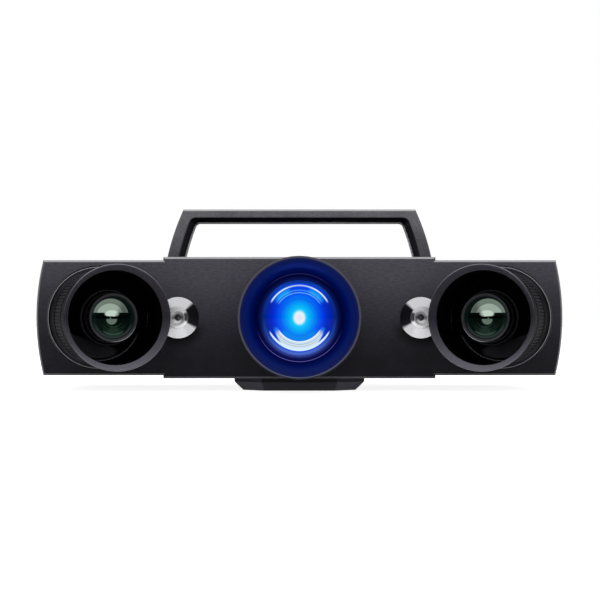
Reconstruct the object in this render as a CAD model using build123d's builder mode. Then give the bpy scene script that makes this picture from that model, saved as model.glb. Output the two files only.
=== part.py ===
from build123d import *
from math import cos, radians, sin, sqrt
import os

os.makedirs("parts", exist_ok=True)

# Stereo structured-light scanner head, millimetres, +Z up, front facing -Y.
# The origin is the mouth of the tripod thread, in the middle of the foot's underside.

# ---------------------------------------------------------------- driving dimensions
OVERALL_WIDTH = 370.0
CENTRE_WIDTH = 191.4
CENTRE_HEIGHT = 85.4
END_HEIGHT = 81.0
END_ARC_RADIUS = 172.0
BODY_DEPTH = 95.0
AXIS_HEIGHT = 52.0
FRONT_Y = -40.0
PANEL_THICKNESS = 6.0
COVER_THICKNESS = 3.0
WALL = 3.0
EDGE_CHAMFER = 1.4
BENCH_THICKNESS = 5.0
CLEARANCE = 0.05

CAMERA_OFFSET = 141.0
TOE_IN = 21.0
LASER_OFFSET = 85.2

HANDLE_TOP = 130.0
HANDLE_DEPTH = 42.0
HANDLE_BAR = 6.0
HANDLE_LEG = 8.2
HANDLE_LIP = 1.2
HANDLE_LIP_DEPTH = 2.4

FOOT_WIDTH = 93.2
FOOT_DEPTH = 70.0
FOOT_BEVEL = 6.2

# ---------------------------------------------------------------- places worked out from them
FOOT_HEIGHT = AXIS_HEIGHT - CENTRE_HEIGHT / 2
PANEL_BACK_Y = FRONT_Y + PANEL_THICKNESS
REAR_Y = FRONT_Y + BODY_DEPTH
HOUSING_REAR_Y = REAR_Y - COVER_THICKNESS
HOUSING_DEPTH = HOUSING_REAR_Y - PANEL_BACK_Y
INNER_HALF_HEIGHT = END_HEIGHT / 2 - WALL
FLOOR_Z = AXIS_HEIGHT - INNER_HALF_HEIGHT
BENCH_TOP = FLOOR_Z + BENCH_THICKNESS
HOUSING_TOP = AXIS_HEIGHT + CENTRE_HEIGHT / 2
CEILING_Z = AXIS_HEIGHT + INNER_HALF_HEIGHT
SIDES = {"left": -1, "right": 1}


def facing_front(y, x=0.0, z=AXIS_HEIGHT):
    """A plane square to the front: its X is the part's X, its Y the part's Z, and it faces -Y."""
    return Plane(origin=(x, y, z), x_dir=(1, 0, 0), z_dir=(0, -1, 0))


def facing_rear(y, x=0.0, z=AXIS_HEIGHT):
    """The same, facing +Y, with its X towards -X."""
    return Plane(origin=(x, y, z), x_dir=(-1, 0, 0), z_dir=(0, 1, 0))


def camera_forward(side):
    return Vector(-side * sin(radians(TOE_IN)), -cos(radians(TOE_IN)), 0)


def camera_across(side):
    return Vector(cos(radians(TOE_IN)), -side * sin(radians(TOE_IN)), 0)


def camera_plane(side, forward):
    """A plane square to one camera's optical axis, a distance forward of the panel's face."""
    base = Vector(side * CAMERA_OFFSET, FRONT_Y, AXIS_HEIGHT)
    return Plane(base + camera_forward(side) * forward, x_dir=camera_across(side), z_dir=camera_forward(side))


def camera_section(side):
    """The plane that holds a camera's optical axis as its Y, with its X level across the axis."""
    return Plane((side * CAMERA_OFFSET, FRONT_Y, AXIS_HEIGHT), x_dir=camera_across(side), z_dir=(0, 0, -1))


def straight_section(x=0.0, y=FRONT_Y, z=AXIS_HEIGHT):
    """The plane that holds a front-to-back axis as its Y, pointing forward."""
    return Plane((x, y, z), x_dir=(1, 0, 0), z_dir=(0, 0, -1))


def turn(section, corners):
    """Turn an outline of (radius, distance forward) corners about the section plane's Y axis."""
    with BuildSketch(section) as outline:
        with BuildLine():
            Polyline(*corners, close=True)
        make_face()
    revolve(outline.sketch, axis=Axis(section.origin, section.y_dir))


def turn_lens(section, radius, aperture, back, edge, sag):
    """Turn a lens with a flat back, a flat seat round its edge and a dome of height sag in front."""
    dome = (aperture * aperture + sag * sag) / (2 * sag)
    halfway = aperture / 2
    drop = dome - sqrt(dome * dome - halfway * halfway)
    with BuildSketch(section) as outline:
        with BuildLine():
            Polyline((0, edge + sag), (0, back), (radius, back), (radius, edge), (aperture, edge))
            ThreePointArc((aperture, edge), (halfway, edge + sag - drop), (0, edge + sag))
        make_face()
    revolve(outline.sketch, axis=Axis(section.origin, section.y_dir))


def cap_screws(places, shank, length, head, head_height, socket=0.0):
    """Cap screws under their heads at the given planes, which face out of the heads."""
    for place in places:
        with BuildSketch(place) as head_outline:
            Circle(head)
        extrude(head_outline.sketch, amount=head_height)
        with BuildSketch(place) as shank_outline:
            Circle(shank)
        extrude(shank_outline.sketch, amount=-length)
        if socket:
            with BuildSketch(place.offset(head_height)) as key:
                RegularPolygon(socket, 6)
            extrude(key.sketch, amount=-head_height * 0.55, mode=Mode.SUBTRACT)


def holes(places, radius, depth):
    """Round holes of a depth behind the given planes."""
    for place in places:
        with BuildSketch(place) as mouth:
            Circle(radius)
        extrude(mouth.sketch, amount=-depth, mode=Mode.SUBTRACT)


def save(piece, name):
    piece.label = name
    export_step(piece, f"parts/{name}.step")


# ---------------------------------------------------------------- fasteners and their places
M3_SHANK = 1.5
M3_HEAD = 2.75
M3_HEAD_HEIGHT = 2.6
M3_KEY = 1.45
M4_SHANK = 2.0
M4_HEAD = 3.5
M4_HEAD_HEIGHT = 3.6
SCREW_FIT = 0.1
TIP_GAP = 0.4

TURRET_PLATE_WIDTH = 70.0
TURRET_PLATE_HEIGHT = 72.0
TURRET_PLATE_THICKNESS = 8.0
TURRET_SCREW_X = 31.0
TURRET_SCREW_Z = 31.5
PANEL_TAP_DEPTH = 4.0
PANEL_SCREW_LENGTH = TURRET_PLATE_THICKNESS + PANEL_TAP_DEPTH
TURRET_BACK_Y = PANEL_BACK_Y + TURRET_PLATE_THICKNESS

turret_screw_places = [
    facing_rear(TURRET_BACK_Y, side * CAMERA_OFFSET + across, AXIS_HEIGHT + up)
    for side in SIDES.values()
    for across in (-TURRET_SCREW_X, TURRET_SCREW_X)
    for up in (-TURRET_SCREW_Z, TURRET_SCREW_Z)
]

LUG_SIZE = 12.0
LUG_DEPTH = TURRET_PLATE_THICKNESS
LUG_X = CENTRE_WIDTH / 2 - WALL - LUG_SIZE / 2
LUG_Z = INNER_HALF_HEIGHT - LUG_SIZE / 2
panel_screw_places = [
    facing_rear(PANEL_BACK_Y + LUG_DEPTH, across, AXIS_HEIGHT + up)
    for across in (-LUG_X, LUG_X)
    for up in (-LUG_Z, LUG_Z)
]

HANDLE_SCREW_X = 89.6
HANDLE_SCREW_Y = 13.0
HANDLE_SCREW_GRIP = 9.0
HANDLE_SCREW_LENGTH = HOUSING_TOP - CEILING_Z + HANDLE_SCREW_GRIP
handle_screw_places = [
    Plane((across, y, CEILING_Z), x_dir=(1, 0, 0), z_dir=(0, 0, -1))
    for across in (-HANDLE_SCREW_X, HANDLE_SCREW_X)
    for y in (-HANDLE_SCREW_Y, HANDLE_SCREW_Y)
]

FOOT_SCREW_X = 27.0
FOOT_SCREW_Y = 17.0
FOOT_SEAT_Z = 4.6
FOOT_SCREW_GRIP = 4.2
FOOT_SCREW_LENGTH = FOOT_HEIGHT - FOOT_SEAT_Z + FOOT_SCREW_GRIP
foot_screw_places = [
    Plane((across, y, FOOT_SEAT_Z), x_dir=(1, 0, 0), z_dir=(0, 0, -1))
    for across in (-FOOT_SCREW_X, FOOT_SCREW_X)
    for y in (-FOOT_SCREW_Y, FOOT_SCREW_Y)
]

COVER_SCREW_X = 87.0
COVER_SCREW_HEAD = 2.4
COVER_SCREW_HEAD_HEIGHT = 1.8
COVER_CHAMFER = 0.8
COVER_SCREW_Z = CENTRE_HEIGHT / 2 - COVER_CHAMFER - COVER_SCREW_HEAD
COVER_SCREW_LENGTH = COVER_THICKNESS + 7.0
cover_screw_places = [
    facing_rear(REAR_Y, across, AXIS_HEIGHT + up)
    for across in (-COVER_SCREW_X, 0.0, COVER_SCREW_X)
    for up in (-COVER_SCREW_Z, COVER_SCREW_Z)
]

BENCH_SCREW_X = 60.0
BENCH_FRONT_Y = -22.0
BENCH_REAR_Y = 39.5
BENCH_SCREW_GRIP = 4.0
BENCH_SCREW_LENGTH = BENCH_THICKNESS + BENCH_SCREW_GRIP
bench_screw_places = [
    Plane((across, y, BENCH_TOP), x_dir=(1, 0, 0), z_dir=(0, 0, 1))
    for across in (-BENCH_SCREW_X, BENCH_SCREW_X)
    for y in (BENCH_FRONT_Y + 8, BENCH_REAR_Y - 8)
]

# ---------------------------------------------------------------- body outlines
end_sagitta = END_ARC_RADIUS - sqrt(END_ARC_RADIUS**2 - (END_HEIGHT / 2) ** 2)
END_CORNER_X = OVERALL_WIDTH / 2 - end_sagitta


def end_outline(inner_x, side, inset=0.0):
    """One end of the body: level top and bottom, and a bowed outer end, set in by a wall."""
    half = END_HEIGHT / 2 - inset
    radius = END_ARC_RADIUS - inset
    tip = OVERALL_WIDTH / 2 - inset
    corner = tip - (radius - sqrt(radius * radius - half * half))
    with BuildSketch() as outline:
        with BuildLine():
            Polyline(
                (side * corner, half),
                (side * inner_x, half),
                (side * inner_x, -half),
                (side * corner, -half),
            )
            ThreePointArc((side * corner, -half), (side * tip, 0), (side * corner, half))
        make_face()
    return outline.sketch


HOOD_OPENING = 36.2
OPENING_CHAMFER = 0.4
TURRET_FACE_RADIUS = 35.8
PROJECTOR_OPENING = 36.0
LASER_SHANK = 5.5
LASER_APERTURE = 2.2
LASER_SEAT = 3.1



def front_circles(piece, radius):
    """The round edges of a radius that lie in the panel's front face."""
    rounds = piece.edges().filter_by(GeomType.CIRCLE)
    return [e for e in rounds if abs(e.radius - radius) < 0.01 and abs(e.center().Y - FRONT_Y) < 0.01]


with BuildPart() as front_panel:
    with BuildSketch(facing_front(PANEL_BACK_Y)):
        Rectangle(CENTRE_WIDTH, CENTRE_HEIGHT)
        for side in SIDES.values():
            add(end_outline(CENTRE_WIDTH / 2 - 1, side))
    extrude(amount=PANEL_THICKNESS)
    rim = front_panel.faces().sort_by(Axis.Y)[0].outer_wire().edges()
    chamfer(rim, EDGE_CHAMFER)
    with BuildSketch(facing_front(FRONT_Y)):
        Circle(PROJECTOR_OPENING)
        with Locations((-CAMERA_OFFSET, 0), (CAMERA_OFFSET, 0)):
            Circle(HOOD_OPENING)
        with Locations((-LASER_OFFSET, 0), (LASER_OFFSET, 0)):
            Circle(LASER_SHANK + CLEARANCE)
    extrude(amount=-PANEL_THICKNESS, mode=Mode.SUBTRACT)
    chamfer(front_circles(front_panel, HOOD_OPENING), OPENING_CHAMFER)
    tapped = [
        facing_rear(PANEL_BACK_Y, p.origin.X, p.origin.Z)
        for p in turret_screw_places + panel_screw_places
    ]
    holes(tapped, M3_SHANK + SCREW_FIT, PANEL_TAP_DEPTH + TIP_GAP)
save(front_panel.part, "front_panel")

# ---------------------------------------------------------------- centre housing
WINDOW_FRONT_Y = BENCH_FRONT_Y - 0.5
WINDOW_REAR_Y = BENCH_REAR_Y + 0.5
WINDOW_TOP = 30.0
SIDE_SCREW_Z = 22.0
side_screw_rows = ((PANEL_BACK_Y + WINDOW_FRONT_Y) / 2, (HOUSING_REAR_Y + WINDOW_REAR_Y) / 2)
SIDE_FLANGE_X = CENTRE_WIDTH / 2
SIDE_SCREW_LENGTH = 2 * WALL

side_screw_places = [
    Plane((side * (SIDE_FLANGE_X - WALL), y, AXIS_HEIGHT + up), x_dir=(0, 1, 0), z_dir=(-side, 0, 0))
    for side in SIDES.values()
    for y in side_screw_rows
    for up in (-SIDE_SCREW_Z, SIDE_SCREW_Z)
]


def side_window(x, side):
    """The opening between the centre housing and an end cover, for the bench and the wiring."""
    middle_z = AXIS_HEIGHT + (WINDOW_TOP - INNER_HALF_HEIGHT) / 2
    middle = Vector(x, (WINDOW_FRONT_Y + WINDOW_REAR_Y) / 2, middle_z)
    with BuildSketch(Plane(middle, x_dir=(0, 1, 0), z_dir=(side, 0, 0))) as window:
        Rectangle(WINDOW_REAR_Y - WINDOW_FRONT_Y, WINDOW_TOP + INNER_HALF_HEIGHT)
    extrude(window.sketch, amount=-WALL, mode=Mode.SUBTRACT)


with BuildPart() as centre_housing:
    with BuildSketch(facing_front(PANEL_BACK_Y)):
        Rectangle(CENTRE_WIDTH, CENTRE_HEIGHT)
        Rectangle(CENTRE_WIDTH - 2 * WALL, 2 * INNER_HALF_HEIGHT, mode=Mode.SUBTRACT)
    extrude(amount=-HOUSING_DEPTH)
    with BuildSketch(facing_front(PANEL_BACK_Y)):
        with Locations(*[(p.origin.X, p.origin.Z - AXIS_HEIGHT) for p in panel_screw_places]):
            Rectangle(LUG_SIZE, LUG_SIZE)
    extrude(amount=-LUG_DEPTH)
    for side in SIDES.values():
        side_window(side * SIDE_FLANGE_X, side)
    holes(panel_screw_places, M3_SHANK + SCREW_FIT, LUG_DEPTH)
    holes(side_screw_places, M3_SHANK + SCREW_FIT, WALL)
    holes(handle_screw_places, M3_SHANK + SCREW_FIT, HOUSING_TOP - CEILING_Z)
    cover_taps = [facing_rear(HOUSING_REAR_Y, p.origin.X, p.origin.Z) for p in cover_screw_places]
    holes(cover_taps, M3_SHANK + SCREW_FIT, COVER_SCREW_LENGTH - COVER_THICKNESS + TIP_GAP)
    foot_taps = [Plane((p.origin.X, p.origin.Y, FOOT_HEIGHT), z_dir=(0, 0, -1)) for p in foot_screw_places]
    holes(foot_taps, M4_SHANK + SCREW_FIT, FOOT_SCREW_GRIP + TIP_GAP)
    bench_taps = [Plane((p.origin.X, p.origin.Y, FLOOR_Z), z_dir=(0, 0, 1)) for p in bench_screw_places]
    holes(bench_taps, M4_SHANK + SCREW_FIT, BENCH_SCREW_GRIP + TIP_GAP)
save(centre_housing.part, "centre_housing")

# ---------------------------------------------------------------- end covers
for name, side in SIDES.items():
    with BuildPart() as end_cover:
        with BuildSketch(facing_front(PANEL_BACK_Y)):
            add(end_outline(SIDE_FLANGE_X, side))
        extrude(amount=-HOUSING_DEPTH)
        long_edges = end_cover.edges().filter_by(Axis.Y).group_by(Axis.X)
        chamfer(long_edges[-1] if side > 0 else long_edges[0], EDGE_CHAMFER)
        with BuildSketch(facing_front(PANEL_BACK_Y)):
            add(end_outline(SIDE_FLANGE_X + WALL, side, inset=WALL))
        extrude(amount=-HOUSING_DEPTH + WALL, mode=Mode.SUBTRACT)
        side_window(side * (SIDE_FLANGE_X + WALL), side)
        outer_side = [p for p in side_screw_places if p.origin.X * side > 0]
        holes([p.offset(-WALL) for p in outer_side], M3_SHANK + SCREW_FIT, WALL)
    save(end_cover.part, f"end_cover_{name}")

with BuildPart() as side_screws:
    cap_screws(side_screw_places, M3_SHANK, SIDE_SCREW_LENGTH, M3_HEAD, M3_HEAD_HEIGHT)
save(side_screws.part, "side_screws")

# ---------------------------------------------------------------- handle
HANDLE_FOOT_X = 95.2
HANDLE_KNEE_X = 90.0
HANDLE_KNEE_Z = 113.5
HANDLE_SHOULDER_X = 83.4
HANDLE_OUTER_RADIUS = 1.6
HANDLE_OUTER_CHAMFER = 1.3
HANDLE_INNER_CHAMFER = 0.5
HANDLE_INNER_RADIUS = 5.0


def handle_outline(inset, top):
    """The strap's outline between its bowed legs, set in by a leg and cut level at the top."""
    shoulder = (HANDLE_SHOULDER_X - inset, HANDLE_TOP)
    knee = (HANDLE_KNEE_X - inset, HANDLE_KNEE_Z)
    foot = (HANDLE_FOOT_X - inset, HOUSING_TOP)
    with BuildSketch() as outline:
        with BuildLine():
            Line((0, HANDLE_TOP), shoulder)
            ThreePointArc(shoulder, knee, foot)
            Line(foot, (0, HOUSING_TOP))
            Line((0, HOUSING_TOP), (0, HANDLE_TOP))
        make_face()
        mirror(about=Plane.YZ)
        with Locations((0, (top + HOUSING_TOP) / 2)):
            Rectangle(CENTRE_WIDTH, top - HOUSING_TOP, mode=Mode.INTERSECT)
    return outline.sketch


def strap_edges(piece):
    """The edges of the strap's front and rear faces above its feet."""
    flat_faces = piece.faces().filter_by(Axis.Y)
    front_and_rear = [f for f in flat_faces if abs(abs(f.center().Y) - HANDLE_DEPTH / 2) < 0.01]
    return [e for f in front_and_rear for e in f.edges() if e.center().Z > HOUSING_TOP + 0.1]


def on_outside(edge):
    """Whether an edge of the strap is on its outer outline."""
    middle = edge.center()
    over_bar = middle.Z > HANDLE_TOP - HANDLE_BAR / 2
    return over_bar or abs(middle.X) > HANDLE_KNEE_X - HANDLE_LEG / 2


def on_lip(edge, spots):
    """Whether an edge is on the front of the lip, straight behind one of the spots on its outline."""
    middle = edge.center()
    if abs(middle.Y - (HANDLE_DEPTH / 2 - HANDLE_LIP_DEPTH)) > 0.01:
        return False
    return any(abs(middle.X - spot.X) < 0.01 and abs(middle.Z - spot.Z) < 0.01 for spot in spots)


handle_front = Plane((0, -HANDLE_DEPTH / 2, 0), x_dir=(1, 0, 0), z_dir=(0, -1, 0))
with BuildPart() as handle:
    with BuildSketch(handle_front):
        add(handle_outline(0.0, HANDLE_TOP))
    extrude(amount=-HANDLE_DEPTH)
    fillet(handle.edges().filter_by(Axis.Y).group_by(Axis.Z)[-1], HANDLE_OUTER_RADIUS)
    with BuildSketch(handle_front) as grip:
        add(handle_outline(HANDLE_LEG, HANDLE_TOP - HANDLE_BAR))
        fillet(grip.vertices().group_by(Axis.Y)[-1], HANDLE_INNER_RADIUS)
    extrude(amount=HANDLE_LIP_DEPTH - HANDLE_DEPTH, mode=Mode.SUBTRACT)
    with BuildSketch(handle_front) as lip:
        add(handle_outline(HANDLE_LEG + HANDLE_LIP, HANDLE_TOP - HANDLE_BAR - HANDLE_LIP))
        fillet(lip.vertices().group_by(Axis.Y)[-1], HANDLE_INNER_RADIUS - HANDLE_LIP)
    extrude(amount=-HANDLE_DEPTH, mode=Mode.SUBTRACT)
    lip_spots = [e.center() for e in lip.sketch.edges()]
    chamfer([e for e in handle.edges() if on_lip(e, lip_spots)], HANDLE_LIP - 0.1)
    chamfer([e for e in strap_edges(handle) if on_outside(e)], HANDLE_OUTER_CHAMFER)
    chamfer([e for e in strap_edges(handle) if not on_outside(e)], HANDLE_INNER_CHAMFER)
    handle_taps = [
        Plane((p.origin.X, p.origin.Y, HOUSING_TOP), z_dir=(0, 0, -1)) for p in handle_screw_places
    ]
    holes(handle_taps, M3_SHANK + SCREW_FIT, HANDLE_SCREW_GRIP + TIP_GAP)
save(handle.part, "handle")

with BuildPart() as handle_screws:
    cap_screws(handle_screw_places, M3_SHANK, HANDLE_SCREW_LENGTH, M3_HEAD, M3_HEAD_HEIGHT)
save(handle_screws.part, "handle_screws")

# ---------------------------------------------------------------- tripod plate
FOOT_FRONT_FLAT = 53.6
FOOT_CORNER_DEPTH = 12.8
INSERT_RADIUS = 8.0
INSERT_LENGTH = 8.0
TRIPOD_THREAD_RADIUS = 4.76

with BuildPart() as tripod_plate:
    with BuildSketch(Plane.XY.offset(FOOT_HEIGHT)):
        half_width = FOOT_WIDTH / 2
        half_depth = FOOT_DEPTH / 2
        with BuildLine():
            Polyline(
                (0, -half_depth),
                (FOOT_FRONT_FLAT / 2, -half_depth),
                (half_width, FOOT_CORNER_DEPTH - half_depth),
                (half_width, half_depth - FOOT_CORNER_DEPTH),
                (FOOT_FRONT_FLAT / 2, half_depth),
                (0, half_depth),
                close=True,
            )
        make_face()
        mirror(about=Plane.YZ)
    extrude(amount=-FOOT_HEIGHT)
    chamfer(tripod_plate.faces().sort_by(Axis.Z)[0].outer_wire().edges(), FOOT_BEVEL)
    holes(foot_screw_places, M4_SHANK + SCREW_FIT, FOOT_HEIGHT)
    for place in foot_screw_places:
        with BuildSketch(place) as counterbore:
            Circle(M4_HEAD + 0.5)
        extrude(counterbore.sketch, amount=FOOT_SEAT_Z, mode=Mode.SUBTRACT)
    with BuildSketch(Plane.XY) as insert_hole:
        Circle(INSERT_RADIUS + CLEARANCE)
    extrude(insert_hole.sketch, amount=INSERT_LENGTH, mode=Mode.SUBTRACT)
save(tripod_plate.part, "tripod_plate")

with BuildPart() as tripod_insert:
    with BuildSketch(Plane.XY):
        Circle(INSERT_RADIUS)
        Circle(TRIPOD_THREAD_RADIUS, mode=Mode.SUBTRACT)
    extrude(amount=INSERT_LENGTH)
save(tripod_insert.part, "tripod_insert")

with BuildPart() as tripod_plate_screws:
    cap_screws(foot_screw_places, M4_SHANK, FOOT_SCREW_LENGTH, M4_HEAD, M4_HEAD_HEIGHT, socket=1.9)
save(tripod_plate_screws.part, "tripod_plate_screws")

# ---------------------------------------------------------------- optical bench
BENCH_HALF_LENGTH = 170.0

BRACKET_FRONT = -30.0
BRACKET_REAR = -58.0
BRACKET_SCREW_X = 13.0
BRACKET_SCREW_FORWARD = (BRACKET_FRONT + BRACKET_REAR) / 2
bracket_screw_places = []
for side in SIDES.values():
    for across in (-BRACKET_SCREW_X, BRACKET_SCREW_X):
        spot = camera_plane(side, BRACKET_SCREW_FORWARD).origin + camera_across(side) * across
        bracket_screw_places.append(Plane((spot.X, spot.Y, BENCH_TOP + BENCH_THICKNESS), z_dir=(0, 0, 1)))

PEDESTAL_SCREW_X = 37.0
PEDESTAL_Y = 6.0
pedestal_screw_places = [
    Plane((across, PEDESTAL_Y, BENCH_TOP + BENCH_THICKNESS), z_dir=(0, 0, 1))
    for across in (-PEDESTAL_SCREW_X, PEDESTAL_SCREW_X)
]
stand_screw_places = bracket_screw_places + pedestal_screw_places

with BuildPart() as optical_bench:
    with BuildSketch(Plane.XY.offset(FLOOR_Z)):
        with Locations((0, (BENCH_FRONT_Y + BENCH_REAR_Y) / 2)):
            Rectangle(2 * BENCH_HALF_LENGTH, BENCH_REAR_Y - BENCH_FRONT_Y)
    extrude(amount=BENCH_THICKNESS)
    chamfer(optical_bench.edges().filter_by(Axis.Z), 5.0)
    holes(bench_screw_places, M4_SHANK + SCREW_FIT, BENCH_THICKNESS)
    stand_taps = [p.offset(-BENCH_THICKNESS) for p in stand_screw_places]
    holes(stand_taps, M4_SHANK + SCREW_FIT, BENCH_SCREW_GRIP + TIP_GAP)
save(optical_bench.part, "optical_bench")

with BuildPart() as bench_screws:
    cap_screws(bench_screw_places + stand_screw_places, M4_SHANK, BENCH_SCREW_LENGTH, M4_HEAD, M4_HEAD_HEIGHT)
save(bench_screws.part, "bench_screws")

# ---------------------------------------------------------------- cameras
HOOD_FOOT = 12.9
HOOD_LENGTH_END = 66.4
HOOD_BEVEL = 8.0
HOOD_BORE = 30.9
SPIGOT_RADIUS = 31.6
SPIGOT_END = 18.0
BOSS_RADIUS = 33.0
BOSS_ROOT = 6.0
BOSS_BORE = 30.6
KNURL_ROOT = 32.4
KNURL_PEAK = 32.8
KNURL_START = 14.0
KNURL_END = 38.0
KNURL_RIDGES = 86
RIM_RADIUS = 34.9
LENS_HOLE = 16.4

LENS_MOUNT = -20.0
CAMERA_FRONT = -26.0
CAMERA_LENGTH = 36.0
CAMERA_SIZE = 29.0
CAMERA_NOSE = 14.2
CORE_RADIUS = 14.9
CORE_BORE = 12.0
CORE_SHOULDER = 15.6
CORE_TAIL = 12.6
SHOULDER_END = 8.0
LENS_END = 51.6
LENS_LIP = 50.1
GLASS_RADIUS = 14.1
LENS_APERTURE = 13.75
GLASS_BACK = 46.6
LENS_SAG = 2.05
RING_GAP = 0.3
IRIS_START = SHOULDER_END + RING_GAP
IRIS_END = 20.0
FOCUS_START = IRIS_END + RING_GAP
FOCUS_END = 42.0
FRONT_RING_START = FOCUS_END + RING_GAP

for name, side in SIDES.items():
    section = camera_section(side)

    with BuildPart() as camera_turret:
        with BuildSketch(camera_plane(side, -BOSS_ROOT)):
            Circle(BOSS_RADIUS)
        extrude(amount=BOSS_ROOT + HOOD_FOOT)
        with BuildSketch(camera_plane(side, 0.0)):
            Circle(SPIGOT_RADIUS - CLEARANCE)
        extrude(amount=SPIGOT_END)
        split(bisect_by=facing_front(FRONT_Y + 2.0), keep=Keep.TOP)
        with BuildSketch(facing_front(PANEL_BACK_Y, side * CAMERA_OFFSET)):
            Circle(TURRET_FACE_RADIUS)
        extrude(amount=PANEL_THICKNESS)
        with BuildSketch(facing_front(PANEL_BACK_Y, side * CAMERA_OFFSET)):
            Rectangle(TURRET_PLATE_WIDTH, TURRET_PLATE_HEIGHT)
        extrude(amount=-TURRET_PLATE_THICKNESS)
        with BuildSketch(camera_plane(side, 0.0)):
            Circle(BOSS_BORE)
        extrude(amount=SPIGOT_END + 5, mode=Mode.SUBTRACT)
        with BuildSketch(camera_plane(side, 0.0)):
            Circle(LENS_HOLE)
        extrude(amount=-30.0, mode=Mode.SUBTRACT)
        own_screws = [p for p in turret_screw_places if p.origin.X * side > 0]
        holes(own_screws, M3_SHANK + SCREW_FIT, TURRET_PLATE_THICKNESS)
        chamfer(front_circles(camera_turret, TURRET_FACE_RADIUS), OPENING_CHAMFER)
    save(camera_turret.part, f"camera_turret_{name}")

    with BuildPart() as camera_hood:
        turn(
            section,
            (
                (SPIGOT_RADIUS, HOOD_FOOT),
                (KNURL_ROOT, HOOD_FOOT),
                (KNURL_ROOT, KNURL_END),
                (KNURL_ROOT, KNURL_END + 1.0),
                (KNURL_ROOT - 0.5, KNURL_END + 1.5),
                (KNURL_ROOT - 0.5, KNURL_END + 3.5),
                (KNURL_PEAK, KNURL_END + 4.0),
                (RIM_RADIUS - 1.0, HOOD_LENGTH_END - 7.0),
                (RIM_RADIUS, HOOD_LENGTH_END - 6.0),
                (RIM_RADIUS, HOOD_LENGTH_END - 0.6),
                (RIM_RADIUS - 0.6, HOOD_LENGTH_END),
                (RIM_RADIUS - 1.0, HOOD_LENGTH_END),
                (HOOD_BORE, HOOD_LENGTH_END - HOOD_BEVEL),
                (HOOD_BORE, SPIGOT_END),
                (SPIGOT_RADIUS, SPIGOT_END),
            ),
        )
        with BuildSketch(camera_plane(side, KNURL_START)):
            with PolarLocations((KNURL_ROOT + KNURL_PEAK) / 2 - 0.1, KNURL_RIDGES):
                Rectangle(KNURL_PEAK - KNURL_ROOT + 0.2, 1.2)
        extrude(amount=KNURL_END - KNURL_START)
    save(camera_hood.part, f"camera_hood_{name}")

    with BuildPart() as lens_barrel:
        turn(
            section,
            (
                (CORE_BORE - 2.0, LENS_MOUNT - 5.0),
                (CORE_TAIL, LENS_MOUNT - 5.0),
                (CORE_TAIL, LENS_MOUNT),
                (CORE_SHOULDER, LENS_MOUNT),
                (CORE_SHOULDER, SHOULDER_END),
                (CORE_RADIUS, SHOULDER_END),
                (CORE_RADIUS, LENS_LIP),
                (GLASS_RADIUS + CLEARANCE, LENS_LIP),
                (GLASS_RADIUS + CLEARANCE, GLASS_BACK),
                (CORE_BORE, GLASS_BACK),
                (CORE_BORE - 2.0, GLASS_BACK - 30.0),
            ),
        )
    save(lens_barrel.part, f"lens_barrel_{name}")

    with BuildPart() as iris_ring:
        turn(
            section,
            (
                (CORE_RADIUS + CLEARANCE, IRIS_START),
                (17.0, IRIS_START),
                (17.6, IRIS_START + 0.6),
                (17.6, IRIS_END - 4.0),
                (16.6, IRIS_END - 3.0),
                (16.6, IRIS_END),
                (CORE_RADIUS + CLEARANCE, IRIS_END),
            ),
        )
    save(iris_ring.part, f"iris_ring_{name}")

    with BuildPart() as focus_ring:
        turn(
            section,
            (
                (CORE_RADIUS + CLEARANCE, FOCUS_START),
                (17.4, FOCUS_START),
                (19.0, FOCUS_START + 2.0),
                (19.0, FOCUS_END - 8.0),
                (17.4, FOCUS_END - 6.5),
                (17.4, FOCUS_END - 0.5),
                (16.9, FOCUS_END),
                (CORE_RADIUS + CLEARANCE, FOCUS_END),
            ),
        )
    save(focus_ring.part, f"focus_ring_{name}")

    with BuildPart() as lens_front_ring:
        turn(
            section,
            (
                (CORE_RADIUS + CLEARANCE, FRONT_RING_START),
                (16.2, FRONT_RING_START),
                (16.2, LENS_END - 0.3),
                (15.9, LENS_END),
                (15.0, LENS_END),
                (LENS_APERTURE, LENS_LIP + 0.3),
                (LENS_APERTURE, LENS_LIP),
                (CORE_RADIUS + CLEARANCE, LENS_LIP),
            ),
        )
    save(lens_front_ring.part, f"lens_front_ring_{name}")

    with BuildPart() as lens_glass:
        turn_lens(section, GLASS_RADIUS, LENS_APERTURE - CLEARANCE, GLASS_BACK, LENS_LIP, LENS_SAG)
    save(lens_glass.part, f"lens_glass_{name}")

    with BuildPart() as camera_body:
        with BuildSketch(camera_plane(side, CAMERA_FRONT)):
            Rectangle(CAMERA_SIZE, CAMERA_SIZE)
        extrude(amount=-CAMERA_LENGTH)
        chamfer(camera_body.edges(), 0.8)
        nose_back = CAMERA_FRONT - 1
        turn(section, ((0, LENS_MOUNT), (CAMERA_NOSE, LENS_MOUNT), (CAMERA_NOSE, nose_back), (0, nose_back)))
        with BuildSketch(camera_plane(side, LENS_MOUNT)):
            Circle(CORE_TAIL + CLEARANCE)
        extrude(amount=CAMERA_FRONT - LENS_MOUNT, mode=Mode.SUBTRACT)
    save(camera_body.part, f"camera_body_{name}")

    with BuildPart() as camera_bracket:
        bottom = BENCH_TOP - AXIS_HEIGHT
        top = -CAMERA_SIZE / 2
        with BuildSketch(camera_plane(side, BRACKET_FRONT)):
            with BuildLine():
                Polyline(
                    (0, bottom),
                    (18, bottom),
                    (18, bottom + BENCH_THICKNESS),
                    (6, bottom + BENCH_THICKNESS),
                    (6, top - 4),
                    (CAMERA_SIZE / 2, top - 4),
                    (CAMERA_SIZE / 2, top),
                    (0, top),
                    close=True,
                )
            make_face()
            mirror(about=Plane.YZ)
        extrude(amount=BRACKET_REAR - BRACKET_FRONT)
        own_screws = [p for p in bracket_screw_places if p.origin.X * side > 0]
        holes(own_screws, M4_SHANK + SCREW_FIT, BENCH_THICKNESS)
    save(camera_bracket.part, f"camera_bracket_{name}")

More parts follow.
